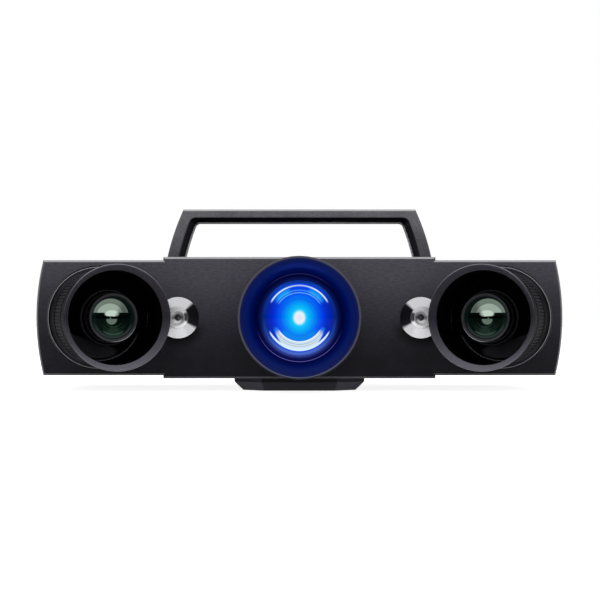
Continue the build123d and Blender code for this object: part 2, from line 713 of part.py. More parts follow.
with BuildPart() as panel_screws:
    screwed = turret_screw_places + panel_screw_places
    cap_screws(screwed, M3_SHANK, PANEL_SCREW_LENGTH, M3_HEAD, M3_HEAD_HEIGHT)
save(panel_screws.part, "panel_screws")

# ---------------------------------------------------------------- laser pointers
for name, side in SIDES.items():
    section = straight_section(side * LASER_OFFSET)

    with BuildPart() as laser_bezel:
        turn(
            section,
            (
                (4.1, -10.0),
                (LASER_SHANK, -10.0),
                (LASER_SHANK, 0.0),
                (14.5, 0.0),
                (14.5, 0.8),
                (8.0, 3.3),
                (5.6, 3.8),
                (5.2, 4.3),
                (4.7, 4.3),
                (4.3, 3.9),
                (LASER_APERTURE, 2.7),
                (LASER_APERTURE, 1.2),
                (LASER_SEAT, 1.2),
                (LASER_SEAT, 0.0),
                (4.1, 0.0),
            ),
        )
    save(laser_bezel.part, f"laser_bezel_{name}")

    with BuildPart() as laser_module:
        turn(section, ((0, -34.0), (5.2, -34.0), (5.2, -10.0), (4.05, -10.0), (4.05, 0.0), (0, 0.0)))
    save(laser_module.part, f"laser_module_{name}")

    with BuildPart() as laser_window:
        turn_lens(section, LASER_SEAT - CLEARANCE, LASER_APERTURE, 0.0, 0.7, 0.4)
    save(laser_window.part, f"laser_window_{name}")

# ---------------------------------------------------------------- projector
PROJECTOR_RIM = 41.3
PROJECTOR_LENGTH = 40.0
FUNNEL_MOUTH = 39.7
FUNNEL_THROAT = 30.7
FUNNEL_BACK = 18.0
BARREL_RADIUS = 30.6
BARREL_FRONT = 19.0
CORE_OUTER = 24.0
TAIL_RADIUS = 22.0
TAIL_START = -28.0
TAIL_END = -36.0
FRONT_GLASS = 27.2
FRONT_APERTURE = 25.7
FRONT_GLASS_BACK = 13.0
FRONT_GLASS_EDGE = 16.5
REAR_GLASS = 19.0
REAR_APERTURE = 17.0

axis_section = straight_section()

with BuildPart() as projector_hood:
    turn(
        axis_section,
        (
            (FUNNEL_THROAT, -PANEL_THICKNESS),
            (PROJECTOR_OPENING - CLEARANCE, -PANEL_THICKNESS),
            (PROJECTOR_OPENING - CLEARANCE, 0.0),
            (39.2, 0.0),
            (39.2, PROJECTOR_LENGTH - 8.0),
            (PROJECTOR_RIM, PROJECTOR_LENGTH - 6.0),
            (PROJECTOR_RIM, PROJECTOR_LENGTH - 0.6),
            (PROJECTOR_RIM - 0.6, PROJECTOR_LENGTH),
            (FUNNEL_MOUTH, PROJECTOR_LENGTH),
            (FUNNEL_THROAT, FUNNEL_BACK),
        ),
    )
save(projector_hood.part, "projector_hood")

with BuildPart() as projector_lens_barrel:
    turn(
        axis_section,
        (
            (REAR_GLASS + CLEARANCE, TAIL_END),
            (TAIL_RADIUS, TAIL_END),
            (TAIL_RADIUS, TAIL_START),
            (CORE_OUTER, TAIL_START),
            (CORE_OUTER, -5.0),
            (BARREL_RADIUS, -5.0),
            (BARREL_RADIUS, BARREL_FRONT - 0.6),
            (BARREL_RADIUS - 0.6, BARREL_FRONT),
            (FRONT_GLASS + CLEARANCE, BARREL_FRONT),
            (FRONT_GLASS + CLEARANCE, FRONT_GLASS_BACK),
            (25.0, FRONT_GLASS_BACK),
            (REAR_APERTURE, -4.0),
            (REAR_APERTURE, TAIL_END + 4.0),
            (REAR_GLASS + CLEARANCE, TAIL_END + 4.0),
        ),
    )
save(projector_lens_barrel.part, "projector_lens_barrel")

with BuildPart() as projector_retainer:
    turn(
        axis_section,
        (
            (FRONT_APERTURE, FRONT_GLASS_EDGE),
            (FRONT_GLASS, FRONT_GLASS_EDGE),
            (FRONT_GLASS, BARREL_FRONT),
            (26.4, BARREL_FRONT),
            (FRONT_APERTURE, BARREL_FRONT - 1.0),
        ),
    )
save(projector_retainer.part, "projector_retainer")

with BuildPart() as projector_front_lens:
    turn_lens(axis_section, FRONT_GLASS, FRONT_APERTURE - CLEARANCE, FRONT_GLASS_BACK, FRONT_GLASS_EDGE, 3.2)
save(projector_front_lens.part, "projector_front_lens")

with BuildPart() as projector_rear_lens:
    turn_lens(axis_section, REAR_GLASS, REAR_APERTURE - CLEARANCE, TAIL_END, TAIL_END + 4.0, 1.5)
save(projector_rear_lens.part, "projector_rear_lens")

RING_RIBS = 24
with BuildPart() as projector_focus_ring:
    turn(
        axis_section,
        (
            (CORE_OUTER + CLEARANCE, -24.0),
            (27.0, -24.0),
            (27.0, -10.0),
            (CORE_OUTER + CLEARANCE, -10.0),
        ),
    )
    with BuildSketch(facing_front(FRONT_Y + 22.0)):
        with PolarLocations(27.4, RING_RIBS):
            Rectangle(1.8, 3.4)
    extrude(amount=10.0)
save(projector_focus_ring.part, "projector_focus_ring")

ENGINE_FRONT_Y = -8.0
ENGINE_REAR_Y = 20.0
ENGINE_WIDTH = 64.0
ENGINE_HEIGHT = 52.0
NOSE_RADIUS = 26.0
NOSE_Y = FRONT_Y - TAIL_START
SOCKET_DEPTH = TAIL_START - TAIL_END
LED_SIZE = 24.0
LED_THICKNESS = 2.0

with BuildPart() as light_engine:
    with BuildSketch(facing_front(ENGINE_FRONT_Y)):
        Rectangle(ENGINE_WIDTH, ENGINE_HEIGHT)
    extrude(amount=ENGINE_FRONT_Y - ENGINE_REAR_Y)
    chamfer(light_engine.edges().filter_by(Axis.Y), 3.0)
    with BuildSketch(facing_front(ENGINE_FRONT_Y)):
        Circle(NOSE_RADIUS)
    extrude(amount=ENGINE_FRONT_Y - NOSE_Y)
    with BuildSketch(facing_front(NOSE_Y)):
        Circle(TAIL_RADIUS + CLEARANCE)
    extrude(amount=-SOCKET_DEPTH, mode=Mode.SUBTRACT)
    with BuildSketch(facing_rear(ENGINE_REAR_Y)):
        Rectangle(LED_SIZE + 0.4, LED_SIZE + 0.4)
    extrude(amount=-LED_THICKNESS, mode=Mode.SUBTRACT)
save(light_engine.part, "light_engine")

with BuildPart() as led_board:
    with BuildSketch(facing_rear(ENGINE_REAR_Y - LED_THICKNESS)):
        Rectangle(LED_SIZE, LED_SIZE)
    extrude(amount=LED_THICKNESS)
save(led_board.part, "led_board")

PEDESTAL_DEPTH = 22.0
PEDESTAL_TOP = AXIS_HEIGHT - ENGINE_HEIGHT / 2
with BuildPart() as projector_pedestal:
    with BuildSketch(Plane.XY.offset(BENCH_TOP)):
        with Locations((0, PEDESTAL_Y)):
            RectangleRounded(2 * PEDESTAL_SCREW_X + 12, PEDESTAL_DEPTH, 4.0)
    extrude(amount=BENCH_THICKNESS)
    with BuildSketch(Plane.XY.offset(BENCH_TOP + BENCH_THICKNESS)):
        with Locations((0, PEDESTAL_Y)):
            Rectangle(ENGINE_WIDTH - 6, PEDESTAL_DEPTH)
    extrude(amount=PEDESTAL_TOP - BENCH_TOP - BENCH_THICKNESS)
    holes(pedestal_screw_places, M4_SHANK + SCREW_FIT, BENCH_THICKNESS)
save(projector_pedestal.part, "projector_pedestal")

FIN_COUNT = 13
FIN_THICKNESS = 1.6
SINK_BASE = 4.0
SINK_DEPTH = 20.0
with BuildPart() as heat_sink:
    with BuildSketch(facing_rear(ENGINE_REAR_Y)):
        Rectangle(ENGINE_WIDTH, ENGINE_HEIGHT)
    extrude(amount=SINK_BASE)
    with BuildSketch(facing_rear(ENGINE_REAR_Y + SINK_BASE)):
        with GridLocations((ENGINE_WIDTH - FIN_THICKNESS) / (FIN_COUNT - 1), 0, FIN_COUNT, 1):
            Rectangle(FIN_THICKNESS, ENGINE_HEIGHT)
    extrude(amount=SINK_DEPTH - SINK_BASE)
save(heat_sink.part, "heat_sink")

# ---------------------------------------------------------------- fan
FAN_SIZE = 60.0
FAN_DEPTH = 10.0
FAN_DUCT = 28.0
FAN_HUB = 11.0
FAN_FRONT_Y = HOUSING_REAR_Y - FAN_DEPTH
FAN_SCREW = 25.0
FAN_SCREW_GRIP = 7.0
LOW_HEAD_HEIGHT = 2.0
FAN_SPOKES = 3
FAN_BLADES = 7
BLADE_TIP = 27.0
ROTOR_HUB = 12.0
ROTOR_FRONT_Y = FAN_FRONT_Y + 2.0
ROTOR_REAR_Y = HOUSING_REAR_Y - 0.8
SPINDLE = 2.0
SPINDLE_CLEARANCE = 0.05

with BuildPart() as fan_frame:
    with BuildSketch(facing_rear(FAN_FRONT_Y)):
        RectangleRounded(FAN_SIZE, FAN_SIZE, 4.0)
        Circle(FAN_DUCT, mode=Mode.SUBTRACT)
    extrude(amount=FAN_DEPTH)
    with BuildSketch(facing_rear(FAN_FRONT_Y)):
        Circle(FAN_HUB)
        with PolarLocations(FAN_DUCT / 2 + 1, FAN_SPOKES):
            Rectangle(FAN_DUCT, 3.0)
    extrude(amount=1.5)
    with BuildSketch(facing_rear(FAN_FRONT_Y)):
        Circle(SPINDLE)
    extrude(amount=FAN_DEPTH - 3.0)
    fan_taps = [facing_rear(HOUSING_REAR_Y, x, AXIS_HEIGHT + z) for x in (-FAN_SCREW, FAN_SCREW)
                for z in (-FAN_SCREW, FAN_SCREW)]
    holes(fan_taps, M3_SHANK + SCREW_FIT, FAN_DEPTH)
save(fan_frame.part, "fan_frame")

BLADE_CHORD = 7.8
BLADE_PITCH = 38.0
BLADE_THICKNESS = 1.0
with BuildPart() as fan_rotor:
    with BuildSketch(facing_rear(ROTOR_FRONT_Y)):
        Circle(ROTOR_HUB)
    extrude(amount=ROTOR_REAR_Y - ROTOR_FRONT_Y)
    with BuildSketch(facing_rear(ROTOR_FRONT_Y)):
        Circle(SPINDLE + SPINDLE_CLEARANCE)
    extrude(amount=FAN_DEPTH - 5.0 + 0.4, mode=Mode.SUBTRACT)
    fan_centre = Vector(0, (ROTOR_FRONT_Y + ROTOR_REAR_Y) / 2, AXIS_HEIGHT)
    for blade in range(FAN_BLADES):
        turned_by = radians(360.0 / FAN_BLADES * blade)
        radial = Vector(cos(turned_by), 0, sin(turned_by))
        root = Plane(fan_centre + radial * (ROTOR_HUB - 1), x_dir=(0, 1, 0), z_dir=radial)
        with BuildSketch(root) as blade_root:
            Rectangle(BLADE_CHORD, BLADE_THICKNESS, rotation=BLADE_PITCH)
        with BuildSketch(root.offset(BLADE_TIP - ROTOR_HUB + 1)) as blade_tip:
            Rectangle(BLADE_CHORD, BLADE_THICKNESS, rotation=BLADE_PITCH - 14)
        loft([blade_root.sketch.face(), blade_tip.sketch.face()])
save(fan_rotor.part, "fan_rotor")

GUARD_THICKNESS = 1.4
GUARD_RINGS = (9.0, 15.0, 21.0, 27.0)
GUARD_WIRE = 1.4
with BuildPart() as fan_guard:
    with BuildSketch(facing_rear(REAR_Y)):
        for ring in GUARD_RINGS:
            Circle(ring + GUARD_WIRE / 2)
            Circle(ring - GUARD_WIRE / 2, mode=Mode.SUBTRACT)
        with PolarLocations((9.0 + FAN_SCREW * sqrt(2)) / 2, 4, start_angle=45):
            Rectangle(FAN_SCREW * sqrt(2) - 9.0, GUARD_WIRE)
        with GridLocations(2 * FAN_SCREW, 2 * FAN_SCREW, 2, 2):
            Circle(3.4)
            Circle(M3_SHANK + SCREW_FIT, mode=Mode.SUBTRACT)
    extrude(amount=GUARD_THICKNESS)
save(fan_guard.part, "fan_guard")

fan_screw_places = [facing_rear(REAR_Y + GUARD_THICKNESS, p.origin.X, p.origin.Z) for p in fan_taps]
fan_screw_length = GUARD_THICKNESS + COVER_THICKNESS + FAN_SCREW_GRIP
with BuildPart() as fan_screws:
    cap_screws(fan_screw_places, M3_SHANK, fan_screw_length, M3_HEAD, LOW_HEAD_HEIGHT, socket=M3_KEY)
save(fan_screws.part, "fan_screws")

# ---------------------------------------------------------------- rear cover and its sockets
PORT_X = 58.0
UPPER_PORT_Z = 14.0
LOWER_PORT_Z = -14.0
INLET_RADIUS = 7.0
JACK_RADIUS = 4.0
BUTTON_RADIUS = 7.0
SLEEVE_RADIUS = 8.6
DATA_WIDTH = 13.0
DATA_HEIGHT = 12.0
VENT_HEIGHT = 46.0
VENT_WIDTH = 2.4
VENT_PITCH = 5.0
VENT_COUNT = 3
VENT_X = 80.0
FLANGE_THICKNESS = 1.2

with BuildPart() as rear_cover:
    with BuildSketch(facing_rear(HOUSING_REAR_Y)):
        Rectangle(CENTRE_WIDTH, CENTRE_HEIGHT)
    extrude(amount=COVER_THICKNESS)
    chamfer(rear_cover.faces().sort_by(Axis.Y)[-1].outer_wire().edges(), COVER_CHAMFER)
    with BuildSketch(facing_rear(REAR_Y)):
        Circle(FAN_DUCT)
        with Locations((PORT_X, UPPER_PORT_Z)):
            Circle(INLET_RADIUS + SCREW_FIT)
        with Locations((PORT_X, LOWER_PORT_Z)):
            Rectangle(DATA_WIDTH + 2 * SCREW_FIT, DATA_HEIGHT + 2 * SCREW_FIT)
        with Locations((-PORT_X, UPPER_PORT_Z)):
            Circle(SLEEVE_RADIUS + SCREW_FIT)
        with Locations((-PORT_X, LOWER_PORT_Z)):
            Circle(JACK_RADIUS + SCREW_FIT)
        for vent_side in SIDES.values():
            with Locations((vent_side * VENT_X, 0)):
                with GridLocations(VENT_PITCH, 0, VENT_COUNT, 1):
                    SlotOverall(VENT_HEIGHT, VENT_WIDTH, rotation=90)
    extrude(amount=-COVER_THICKNESS, mode=Mode.SUBTRACT)
    fan_holes = [facing_rear(REAR_Y, p.origin.X, p.origin.Z) for p in fan_taps]
    holes(fan_holes, M3_SHANK + SCREW_FIT, COVER_THICKNESS)
    holes(cover_screw_places, M3_SHANK + SCREW_FIT, COVER_THICKNESS)
save(rear_cover.part, "rear_cover")

with BuildPart() as rear_cover_screws:
    cap_screws(
        cover_screw_places,
        M3_SHANK,
        COVER_SCREW_LENGTH,
        COVER_SCREW_HEAD,
        COVER_SCREW_HEAD_HEIGHT,
        socket=M3_KEY,
    )
save(rear_cover_screws.part, "rear_cover_screws")

with BuildPart() as power_inlet:
    turn(
        straight_section(-PORT_X, REAR_Y, AXIS_HEIGHT + UPPER_PORT_Z),
        (
            (0, 16.0),
            (INLET_RADIUS, 16.0),
            (INLET_RADIUS, 0.0),
            (INLET_RADIUS + 2.0, 0.0),
            (INLET_RADIUS + 2.0, -FLANGE_THICKNESS),
            (INLET_RADIUS - 1.6, -FLANGE_THICKNESS),
            (INLET_RADIUS - 1.6, 8.0),
            (0, 8.0),
        ),
    )
save(power_inlet.part, "power_inlet")

with BuildPart() as data_port:
    with BuildSketch(facing_rear(REAR_Y, -PORT_X, AXIS_HEIGHT + LOWER_PORT_Z)):
        RectangleRounded(DATA_WIDTH + 3.0, DATA_HEIGHT + 3.0, 1.5)
    extrude(amount=FLANGE_THICKNESS)
    with BuildSketch(facing_rear(REAR_Y, -PORT_X, AXIS_HEIGHT + LOWER_PORT_Z)):
        Rectangle(DATA_WIDTH, DATA_HEIGHT)
    extrude(amount=-17.0)
    with BuildSketch(facing_rear(REAR_Y + FLANGE_THICKNESS, -PORT_X, AXIS_HEIGHT + LOWER_PORT_Z)):
        Rectangle(9.0, 8.0)
    extrude(amount=-10.0, mode=Mode.SUBTRACT)
save(data_port.part, "data_port")

with BuildPart() as sync_port:
    turn(
        straight_section(PORT_X, REAR_Y, AXIS_HEIGHT + LOWER_PORT_Z),
        (
            (0, 14.0),
            (JACK_RADIUS, 14.0),
            (JACK_RADIUS, 0.0),
            (JACK_RADIUS + 1.6, 0.0),
            (JACK_RADIUS + 1.6, -FLANGE_THICKNESS),
            (1.8, -FLANGE_THICKNESS),
            (1.8, 11.0),
            (0, 11.0),
        ),
    )
save(sync_port.part, "sync_port")

BUTTON_TRAVEL = 2.0
button_section = straight_section(PORT_X, REAR_Y, AXIS_HEIGHT + UPPER_PORT_Z)
with BuildPart() as switch_body:
    turn(
        button_section,
        (
            (0, 16.0),
            (SLEEVE_RADIUS, 16.0),
            (SLEEVE_RADIUS, 0.0),
            (SLEEVE_RADIUS + 1.8, 0.0),
            (SLEEVE_RADIUS + 1.8, -FLANGE_THICKNESS),
            (BUTTON_RADIUS + 0.08, -FLANGE_THICKNESS),
            (BUTTON_RADIUS + 0.08, 10.0),
            (0, 10.0),
        ),
    )
save(switch_body.part, "switch_body")

with BuildPart() as power_button:
    turn(
        button_section,
        (
            (0, 10.0 - BUTTON_TRAVEL - 0.3),
            (BUTTON_RADIUS, 10.0 - BUTTON_TRAVEL - 0.3),
            (BUTTON_RADIUS, -FLANGE_THICKNESS - BUTTON_TRAVEL),
            (BUTTON_RADIUS - 0.8, -FLANGE_THICKNESS - BUTTON_TRAVEL - 0.8),
            (BUTTON_RADIUS - 2.0, -FLANGE_THICKNESS - BUTTON_TRAVEL - 0.8),
            (0, -FLANGE_THICKNESS - BUTTON_TRAVEL - 0.2),
        ),
    )
save(power_button.part, "power_button")

# ---------------------------------------------------------------- controller board
BOARD_X = -64.0
BOARD_Y = 8.0
BOARD_WIDTH = 44.0
BOARD_DEPTH = 52.0
BOARD_THICKNESS = 1.6
STANDOFF_HEIGHT = 8.0
STANDOFF_RADIUS = 2.8
BOARD_Z = BENCH_TOP + STANDOFF_HEIGHT
CHIPS = (
    (-8.0, -8.0, 14.0, 14.0, 1.4),
    (10.0, -12.0, 8.0, 10.0, 1.2),
    (8.0, 10.0, 12.0, 10.0, 3.0),
    (-12.0, 14.0, 7.0, 12.0, 6.0),
)

with BuildPart() as board_standoffs:
    with BuildSketch(Plane.XY.offset(BENCH_TOP)):
        with Locations((BOARD_X, BOARD_Y)):
            with GridLocations(BOARD_WIDTH - 8, BOARD_DEPTH - 8, 2, 2):
                RegularPolygon(STANDOFF_RADIUS, 6)
    extrude(amount=STANDOFF_HEIGHT)
save(board_standoffs.part, "board_standoffs")

with BuildPart() as controller_board:
    with BuildSketch(Plane.XY.offset(BOARD_Z)):
        with Locations((BOARD_X, BOARD_Y)):
            RectangleRounded(BOARD_WIDTH, BOARD_DEPTH, 2.0)
    extrude(amount=BOARD_THICKNESS)
    for across, along, width, depth, height in CHIPS:
        with BuildSketch(Plane.XY.offset(BOARD_Z + BOARD_THICKNESS)):
            with Locations((BOARD_X + across, BOARD_Y + along)):
                Rectangle(width, depth)
        extrude(amount=height)
save(controller_board.part, "controller_board")
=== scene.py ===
import math

import bpy
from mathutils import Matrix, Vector

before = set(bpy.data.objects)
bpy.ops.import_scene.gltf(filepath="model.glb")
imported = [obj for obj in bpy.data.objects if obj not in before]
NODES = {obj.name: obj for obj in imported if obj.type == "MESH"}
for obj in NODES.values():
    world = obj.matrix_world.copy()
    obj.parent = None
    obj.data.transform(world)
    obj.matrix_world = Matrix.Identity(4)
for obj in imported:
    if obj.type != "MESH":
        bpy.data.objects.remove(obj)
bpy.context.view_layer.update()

SIDES = {"left": -1.0, "right": 1.0}

# Places in metres. The part faces -Y, and z = 0 is the mouth of its tripod thread.
MM = 0.001
AXIS_Z = 52.0 * MM
FRONT_Y = -40.0 * MM
BODY_BOTTOM = 9.3 * MM
BODY_TOP = 94.7 * MM
CAMERA_X = 141.0 * MM
LASER_X = 85.2 * MM
TOE_IN = math.radians(21.0)

# Radii about an axis and distances along it, in millimetres.
HOOD_BORE = 31.0
HOOD_BEVEL = 32.6
HOOD_RIM = 34.7
HOOD_MOUTH = 65.9
KNURL_ROOT = 32.5
KNURL_MIDDLE = 26.0
KNURL_HALF = 12.0
TURRET_OPENING = 35.15
TURRET_FLOOR = 30.1
BARREL_STEP = 18.4
LENS_RING_FACE = 15.1
LENS_RING_EDGE = 16.0
BEZEL_DISH = 4.15
BEZEL_STEP = 7.2
CUP_FLOOR = 30.7
CUP_WALL = 39.9
LIT_RING = 24.0
LIT_LENS = 26.0

FRONT = (0.0, -1.0, 0.0)
UP = (0.0, 0.0, 1.0)
DOWN = (0.0, 0.0, -1.0)
RIGHT = (1.0, 0.0, 0.0)
EVEN = (1.0, 1.0, 1.0)
BLACK = (0.0, 0.0, 0.0, 1.0)
WHITE = (1.0, 1.0, 1.0, 1.0)


def srgb(r, g, b):
    """A colour given as 0 to 255, in the linear values that shaders take."""
    def linear(c):
        c /= 255.0
        return c / 12.92 if c <= 0.04045 else ((c + 0.055) / 1.055) ** 2.4
    return (linear(r), linear(g), linear(b), 1.0)


class Tree:
    """Short calls for the nodes of one material or world."""

    def __init__(self, owner):
        owner.use_nodes = True
        self.tree = owner.node_tree
        self.tree.nodes.clear()
        self.coords = self.tree.nodes.new("ShaderNodeTexCoord")

    def feed(self, target, value):
        """Link an output, or a node's first one, to an input. A plain value is set on it."""
        if isinstance(value, bpy.types.Node):
            value = value.outputs[0]
        if isinstance(value, bpy.types.NodeSocket):
            self.tree.links.new(value, target)
        else:
            target.default_value = value

    def node(self, kind, *values, **settings):
        made = self.tree.nodes.new(kind)
        for key, value in settings.items():
            setattr(made, key, value)
        for target, value in zip(made.inputs, values):
            self.feed(target, value)
        return made

    def math(self, operation, a, b=0.0, c=0.0):
        return self.node("ShaderNodeMath", a, b, c, operation=operation).outputs[0]

    def times(self, first, *others):
        for each in others:
            first = self.math("MULTIPLY", first, each)
        return first

    def size(self, value):
        return self.math("ABSOLUTE", value)

    def vector(self, operation, a, b=(0.0, 0.0, 0.0)):
        made = self.node("ShaderNodeVectorMath", a, b, operation=operation)
        scalar = operation in ("DOT_PRODUCT", "LENGTH")
        return made.outputs["Value" if scalar else "Vector"]

    def length(self, sideways, upward):
        return self.vector("LENGTH", self.node("ShaderNodeCombineXYZ", sideways, upward, 0.0))

    def step(self, value, low, high, to_low=0.0, to_high=1.0):
        """A smooth step from to_low at low to to_high at high."""
        made = self.node("ShaderNodeMapRange", interpolation_type="SMOOTHSTEP")
        for name, entry in (("Value", value), ("From Min", low), ("From Max", high),
                            ("To Min", to_low), ("To Max", to_high)):
            self.feed(made.inputs[name], entry)
        return made.outputs[0]

    def band(self, value, centre, half, soft):
        """1 within half of centre, falling to 0 over soft."""
        away = self.size(self.math("SUBTRACT", value, centre))
        return self.step(away, half, half + soft, 1.0, 0.0)

    def xyz(self, where):
        return self.node("ShaderNodeSeparateXYZ", where).outputs


class Shader(Tree):
    """A material with one Principled shader."""

    def __init__(self, name):
        self.material = bpy.data.materials.new(name)
        super().__init__(self.material)
        self.bsdf = self.node("ShaderNodeBsdfPrincipled")
        self.node("ShaderNodeOutputMaterial", self.bsdf)
        self.place = self.coords.outputs["Object"]

    def set(self, **values):
        """Feed inputs of the Principled shader, with _ for each space in a name."""
        for name, value in values.items():
            self.feed(self.bsdf.inputs[name.replace("_", " ")], value)

    def mix(self, factor, a, b, blend="MIX"):
        made = self.node("ShaderNodeMix", data_type="RGBA", blend_type=blend, clamp_factor=True)
        for index, entry in ((0, factor), (6, a), (7, b)):
            self.feed(made.inputs[index], entry)
        return made.outputs[2]

    def grey(self, value):
        return self.node("ShaderNodeCombineColor", value, value, value)

    def shaded(self, colour, shade):
        """The colour, darker or lighter by the factor."""
        return self.mix(1.0, colour, self.grey(shade), "MULTIPLY")

    def ramp(self, value, *stops):
        """A run of colours, each stop a place from 0 to 1 and then red, green and blue to 255."""
        made = self.node("ShaderNodeValToRGB", value)
        elements = made.color_ramp.elements
        while len(elements) < len(stops):
            elements.new(0.5)
        for element, (position, *colour) in zip(elements, stops):
            element.position = position
            element.color = srgb(*colour)
        return made.outputs[0]

    def noise(self, scale, detail=2.0, stretch=EVEN, where=None):
        made = self.node("ShaderNodeTexNoise")
        place = self.vector("MULTIPLY", self.place if where is None else where, stretch)
        for name, entry in (("Vector", place), ("Scale", scale), ("Detail", detail)):
            self.feed(made.inputs[name], entry)
        return made.outputs["Fac"]

    def rings(self, scale, detail, radius, along=0.0):
        """Fine rings round an axis, as a lathe tool leaves them."""
        return self.noise(scale, detail, where=self.node("ShaderNodeCombineXYZ", radius, along, 0.0).outputs[0])

    def bump(self, height, strength, distance):
        made = self.node("ShaderNodeBump")
        for name, entry in (("Height", height), ("Strength", strength), ("Distance", distance)):
            self.feed(made.inputs[name], entry)
        self.set(Normal=made)

    def facing(self, direction):
        """How much the surface faces a direction of the part: 1 square on, -1 away."""
        return self.vector("DOT_PRODUCT", self.coords.outputs["Normal"], direction)

    def circle(self, at, u, v, radius, soft):
        """1 inside a circle about (u, v)."""
        distance = self.length(self.math("SUBTRACT", at.sideways, u), self.math("SUBTRACT", at.upward, v))
        return self.step(distance, radius - soft, radius + soft, 1.0, 0.0)


class Around:
    """Where a point lies about an axis: along it, from it, sideways and up, in millimetres.

    rise is 1 straight above the axis and -1 straight below it.
    """

    def __init__(self, shader, base, forward, across):
        away = shader.vector("SUBTRACT", shader.place, base)
        away = shader.vector("MULTIPLY", away, (1.0 / MM, 1.0 / MM, 1.0 / MM))
        self.shader = shader
        self.along = shader.vector("DOT_PRODUCT", away, forward)
        self.sideways = shader.vector("DOT_PRODUCT", away, across)
        self.upward = shader.xyz(away)[2]
        self.radius = shader.length(self.sideways, self.upward)
        self.rise = shader.math("DIVIDE", self.upward, self.radius)

    def inward(self, side):
        """1 straight towards the scanner's middle, -1 straight away from it."""
        return self.shader.math("DIVIDE", self.shader.times(self.sideways, -side), self.radius)


def camera_axis(side):
    base = (side * CAMERA_X, FRONT_Y, AXIS_Z)
    forward = (-side * math.sin(TOE_IN), -math.cos(TOE_IN), 0.0)
    across = (math.cos(TOE_IN), -side * math.sin(TOE_IN), 0.0)
    return base, forward, across


def straight_axis(x=0.0):
    return (x, FRONT_Y, AXIS_Z), FRONT, RIGHT


def dress(shader, *names):
    """Give a material to CAD nodes."""
    for name in names:
        for each in NODES[name].material_slots:
            each.material = shader.material


# ------------------------------------------------------------------ black paint of the body
def speckled(s, colour, spread):
    """The colour with the fine noise's light and dark specks."""
    return s.shaded(colour, s.step(s.fine, 0.3, 0.7, 1.0 - spread, 1.0 + spread))


def painted(name, dark, light, rough, grain=900.0, stretch=EVEN, relief=0.08, gloss=0.15, spread=0.12):
    """Satin black paint with a fine grain and soft mottling."""
    s = Shader(name)
    s.fine = s.noise(grain, 3.0, stretch)
    s.broad = s.noise(60.0)
    s.tint = speckled(s, s.mix(s.step(s.broad, 0.3, 0.7), dark, light), spread)
    s.set(Base_Color=s.tint, Roughness=s.step(s.fine, 0.2, 0.8, rough - 0.05, rough + 0.07),
          Specular_IOR_Level=gloss)
    s.bump(s.math("ADD", s.fine, s.times(s.broad, 0.3)), relief, 0.0004)
    return s


def half_turned(s):
    """1 on faces turned half away from the front."""
    return s.band(s.facing(FRONT), 0.70, 0.12, 0.08)


def chamfers(s):
    """Masks of the half-turned edges round the front: facing half up, and half down."""
    slant = half_turned(s)
    rise = s.facing(UP)
    return s.times(slant, s.step(rise, 0.45, 0.6)), s.times(slant, s.step(rise, -0.45, -0.6))


def paint_panel():
    s = painted("panel_paint", srgb(40, 39, 44), srgb(40, 39, 44), 0.40, stretch=(0.30, 1.0, 1.1),
                relief=0.16, gloss=0.08)
    sideways, _, height = s.xyz(s.place)
    from_middle = s.size(sideways)
    rise = s.math("DIVIDE", s.math("SUBTRACT", height, BODY_BOTTOM), BODY_TOP - BODY_BOTTOM)
    # Painted light: the paint ramps from dark at the bottom to light at the top, as if lit from above.
    colour = s.ramp(rise, (0.0, 21, 20, 27), (0.15, 21, 20, 26), (0.31, 33, 32, 39), (0.48, 50, 49, 57),
                    (0.64, 64, 63, 71), (0.81, 75, 74, 81), (0.96, 79, 78, 85))
    # Painted shade: darker towards both ends, less so near the top.
    ends = s.step(from_middle, 70.0 * MM, 185.0 * MM, 0.0, 0.5)
    colour = s.mix(s.times(ends, s.step(rise, 1.0, 0.6, 0.35, 1.0)), colour, srgb(28, 27, 33))
    colour = s.mix(s.step(s.broad, 0.3, 0.7, 0.0, 0.10), colour, srgb(60, 58, 66))
    for side in SIDES.values():
        # Painted shadow: darker just below the laser bezels.
        at = Around(s, *straight_axis(side * LASER_X))
        bezel_shadow = s.times(s.step(at.radius, 24.0, 15.2), s.step(at.rise, -0.05, -0.75))
        colour = s.mix(bezel_shadow, colour, srgb(6, 6, 9))
    colour = speckled(s, colour, 0.14)
    # Painted highlights on the chamfers: a light sheen on all of them, brightest along the top edge, lighter on the
    # low edge and on the edges at the ends.
    half_up, half_down = chamfers(s)
    top_edge_highlight = s.times(half_up, s.step(height, 88.0 * MM, 90.0 * MM))
    low_edge_highlight = s.times(half_down, s.step(height, 16.5 * MM, 14.5 * MM))
    outward = s.step(s.size(s.facing(RIGHT)), 0.45, 0.6)
    end_edge_highlight = s.times(outward, half_turned(s), s.step(from_middle, 150.0 * MM, 155.0 * MM))
    for mask, tone in ((s.math("MAXIMUM", half_up, half_down), srgb(52, 51, 56)), (top_edge_highlight, srgb(158, 157, 162)),
                       (low_edge_highlight, srgb(98, 98, 103)), (end_edge_highlight, srgb(104, 103, 108))):
        colour = s.mix(mask, colour, tone)
    s.set(Base_Color=colour)
    dress(s, "front_panel")


def paint_housing():
    s = painted("housing_paint", srgb(34, 33, 38), srgb(41, 40, 45), 0.45, 1300.0)
    dress(s, "centre_housing", "end_cover_left", "end_cover_right", "rear_cover")


